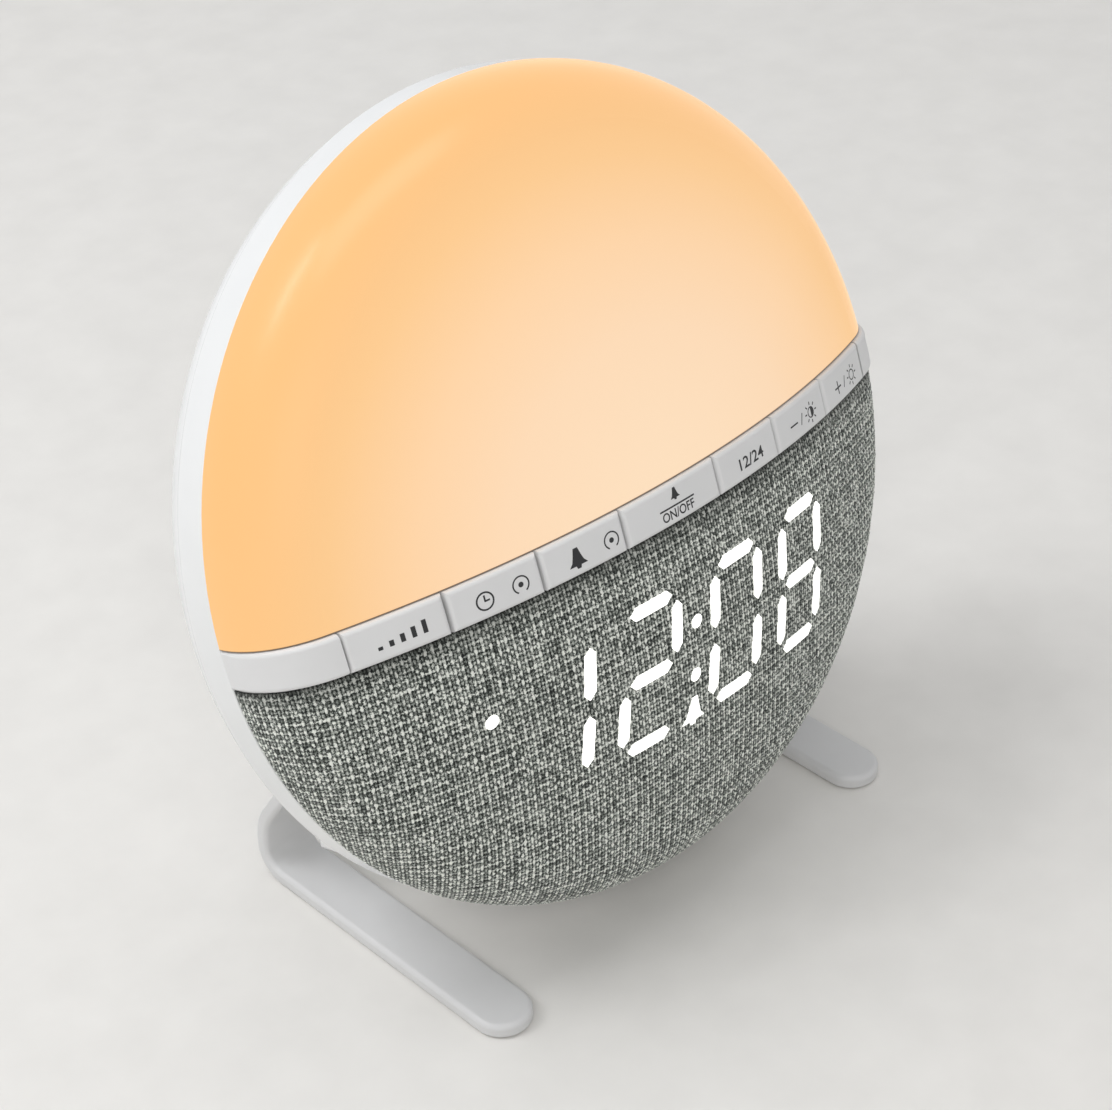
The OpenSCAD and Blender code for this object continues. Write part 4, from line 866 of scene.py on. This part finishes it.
def key_z(x, y):
    """Height of the keys' fronts over a point of the face."""
    return CAP_Z + KEY_PROUD + math.sqrt(CAP_R**2 - x**2)


for key, shapes in labels.items():
    inlay("ink_" + key, shapes, key_z, INK_PROUD, INK_SUNK, INK_FINEST, ink, key)

# %% [markdown]
# ## The room
#
# The clock stands on a plain pale floor. It is a disc of rings that grow outwards, fine where the clock
# stands and coarse where nothing happens.

# %% Floor
def lay_floor(radius=3.0, rings=12, sides=96):
    mesh = bmesh.new()
    angles = [2 * math.pi * s / sides for s in range(sides)]
    rows = [[mesh.verts.new((0, 0, 0))]]
    for k in range(1, rings + 1):
        r = radius * (k / rings) ** 2
        rows.append([mesh.verts.new((r * math.cos(a), r * math.sin(a), 0)) for a in angles])
    for s in range(sides):
        t = (s + 1) % sides
        mesh.faces.new((rows[0][0], rows[1][s], rows[1][t]))
        for k in range(1, rings):
            mesh.faces.new((rows[k][s], rows[k + 1][s], rows[k + 1][t], rows[k][t]))
    data = bpy.data.meshes.new("floor")
    mesh.to_mesh(data)
    mesh.free()
    floor = bpy.data.objects.new("floor", data)
    bpy.context.scene.collection.objects.link(floor)
    floor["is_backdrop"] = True
    return floor


floor = lay_floor()
print("floor:", len(floor.data.polygons), "faces")

# %% [markdown]
# Far from the lamps the floor would turn grey and draw a hard horizon against the pale wall. So it
# brightens there, but only where it is looked at, straight or in a reflection: the soft light that the
# clock gets from it stays as it is.

# %% Plaster that fades into the wall
WALL = "#F4F5F7"
FADE_START, FADE_END, FADE_LIGHT = 0.7, 2.2, 0.42


def looked_at(tree):
    """1 for rays from the camera, a mirror or glass, and 0 for the soft light that the room gives."""
    ray = add_node(tree, "ShaderNodeLightPath").outputs
    mirrored = add_node(tree, "ShaderNodeMath", {0: ray["Is Camera Ray"], 1: ray["Is Glossy Ray"]},
                        operation="MAXIMUM")
    return add_node(tree, "ShaderNodeMath", {0: mirrored, 1: ray["Is Transmission Ray"]},
                    operation="MAXIMUM")


def fading_plaster():
    material = skin("pale_plaster", "#E9E7E3", "#E4E2DE", 0.7, 2.0, 0.02)
    tree = material.node_tree
    shader = tree.nodes["Principled BSDF"]
    place = add_node(tree, "ShaderNodeTexCoord").outputs["Object"]
    away = add_node(tree, "ShaderNodeVectorMath", {0: place}, operation="LENGTH").outputs["Value"]
    fade = add_node(tree, "ShaderNodeMapRange",
                    {"Value": away, "From Min": FADE_START, "From Max": FADE_END, "To Max": FADE_LIGHT},
                    interpolation_type="SMOOTHSTEP")
    glow = add_node(tree, "ShaderNodeMath", {0: fade, 1: looked_at(tree)}, operation="MULTIPLY")
    tree.links.new(glow.outputs[0], shader.inputs["Emission Strength"])
    shader.inputs["Emission Color"].default_value = from_hex(WALL)
    return material


floor.data.materials.append(fading_plaster())
print("the floor fades from", FADE_START, "m to", FADE_END, "m away")

# %% [markdown]
# The world gives an even fill from all sides, and is shown brighter than it lights, as the pale wall
# behind the clock. Together with the lamps it lights a white surface to about its own colour, so that
# nothing clips.

# %% World
ROOM_LIGHT, WALL_LIGHT = 0.54, 0.9
world = bpy.data.worlds.new("studio")
bpy.context.scene.world = world
world.use_nodes = True
room = world.node_tree
sky = room.nodes["Background"]
sky.inputs["Color"].default_value = from_hex(WALL)
strength = add_node(room, "ShaderNodeMapRange",
                    {"Value": looked_at(room), "To Min": ROOM_LIGHT, "To Max": WALL_LIGHT})
room.links.new(strength.outputs["Result"], sky.inputs["Strength"])
print("world lights at", ROOM_LIGHT, "and shows at", WALL_LIGHT)

# %% [markdown]
# ## The lamps
#
# Two lamps are there to be mirrored in the dome: a narrow one behind the clock draws the soft streak on
# the shoulder at the upper left, and a wide, weak one overhead draws the broad sheen along the top. Two
# large softboxes only add soft light, so they are kept out of reflections, or they would draw streaks of
# their own.

# %% Two ways to set up a lamp
def softbox(name, place, aim, width, height, watts, colour, mirrored=True):
    lamp = bpy.data.lights.new(name, "AREA")
    lamp.shape = "RECTANGLE"
    lamp.size, lamp.size_y = width, height
    lamp.energy = watts
    lamp.color = from_hex(colour)[:3]
    holder = bpy.data.objects.new(name, lamp)
    holder.location = place
    holder.rotation_euler = (Vector(aim) - Vector(place)).to_track_quat("-Z", "Y").to_euler()
    holder.visible_glossy = mirrored
    bpy.context.scene.collection.objects.link(holder)
    print(name, "gives", watts, "W")
    return holder


def strip_light(name, start, end, aim, width, watts, colour):
    """A softbox whose long side runs from one point to another."""
    start, end = Vector(start), Vector(end)
    middle = (start + end) / 2
    holder = softbox(name, middle, aim, (end - start).length, width, watts, colour)
    back = (middle - Vector(aim)).normalized()
    along = (end - start).normalized()
    along = (along - back * along.dot(back)).normalized()
    holder.rotation_euler = Matrix((along, back.cross(along), back)).transposed().to_euler()
    return holder


# %% Lamps
strip_light("strip_light", (-0.79, 0.47, 1.12), (-0.38, 0.42, 1.35), (0, 0, 0.1), 0.08, 1.0, "#FFFFFF")
strip_light("ceiling_light", (-0.4, 0.12, 1.3), (0.45, -0.05, 1.2), (0, 0, 0.1), 0.4, 1.4, "#FFFFFF")
softbox("top_softbox", (-0.75, 0.62, 1.26), (0, 0, 0.08), 0.9, 0.9, 9.0, "#FCFDFF", mirrored=False)
softbox("front_softbox", (-0.95, -1.0, 1.1), (0, 0, 0.08), 0.9, 0.9, 6.5, "#FFFDFA", mirrored=False)

# %% [markdown]
# ## The camera
#
# A long lens, up and to the left of the clock, with a slight roll. Its direction comes from two angles,
# and the roll turns the picture's right and up about that direction.

# %% Camera
AZIMUTH, ELEVATION, ROLL = math.radians(43.579), math.radians(35.13), math.radians(-1.328)
AIM = Vector((8.49, 9.779, 61.356)) * MM
AWAY = 0.569488
FOCAL_MM, SENSOR_MM = 84.785, 36
level = math.cos(ELEVATION)
forward = Vector((math.sin(AZIMUTH) * level, math.cos(AZIMUTH) * level, -math.sin(ELEVATION)))
right = forward.cross(Vector((0, 0, 1))).normalized()
up = right.cross(forward)
turned_right = right * math.cos(ROLL) + up * math.sin(ROLL)
turned_up = up * math.cos(ROLL) - right * math.sin(ROLL)
turned = Matrix((turned_right, turned_up, -forward)).transposed().to_4x4()
lens = bpy.data.cameras.new("camera")
lens.lens = FOCAL_MM
lens.sensor_width = SENSOR_MM
lens.clip_start, lens.clip_end = 0.01, 20
camera = bpy.data.objects.new("camera", lens)
camera.matrix_world = Matrix.Translation(AIM - forward * AWAY) @ turned
bpy.context.scene.collection.objects.link(camera)
bpy.context.scene.camera = camera
bpy.context.scene.view_settings.view_transform = "Standard"
print("camera at", [round(v, 3) for v in camera.matrix_world.translation])

# %% [markdown]
# ## The last check
#
# The dressed clock must be as big as the CAD model, apart from what the cloth stands proud, so the
# growth of each corner of its box over the CAD model's box is printed.

# %% Compare the sizes
seen_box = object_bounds()
for corner in (0, 1):
    growth = [round((seen_box[corner][k] - cad_box[corner][k]) * 1000, 2) for k in range(3)]
    print("corner", corner, "grows by", growth, "mm")
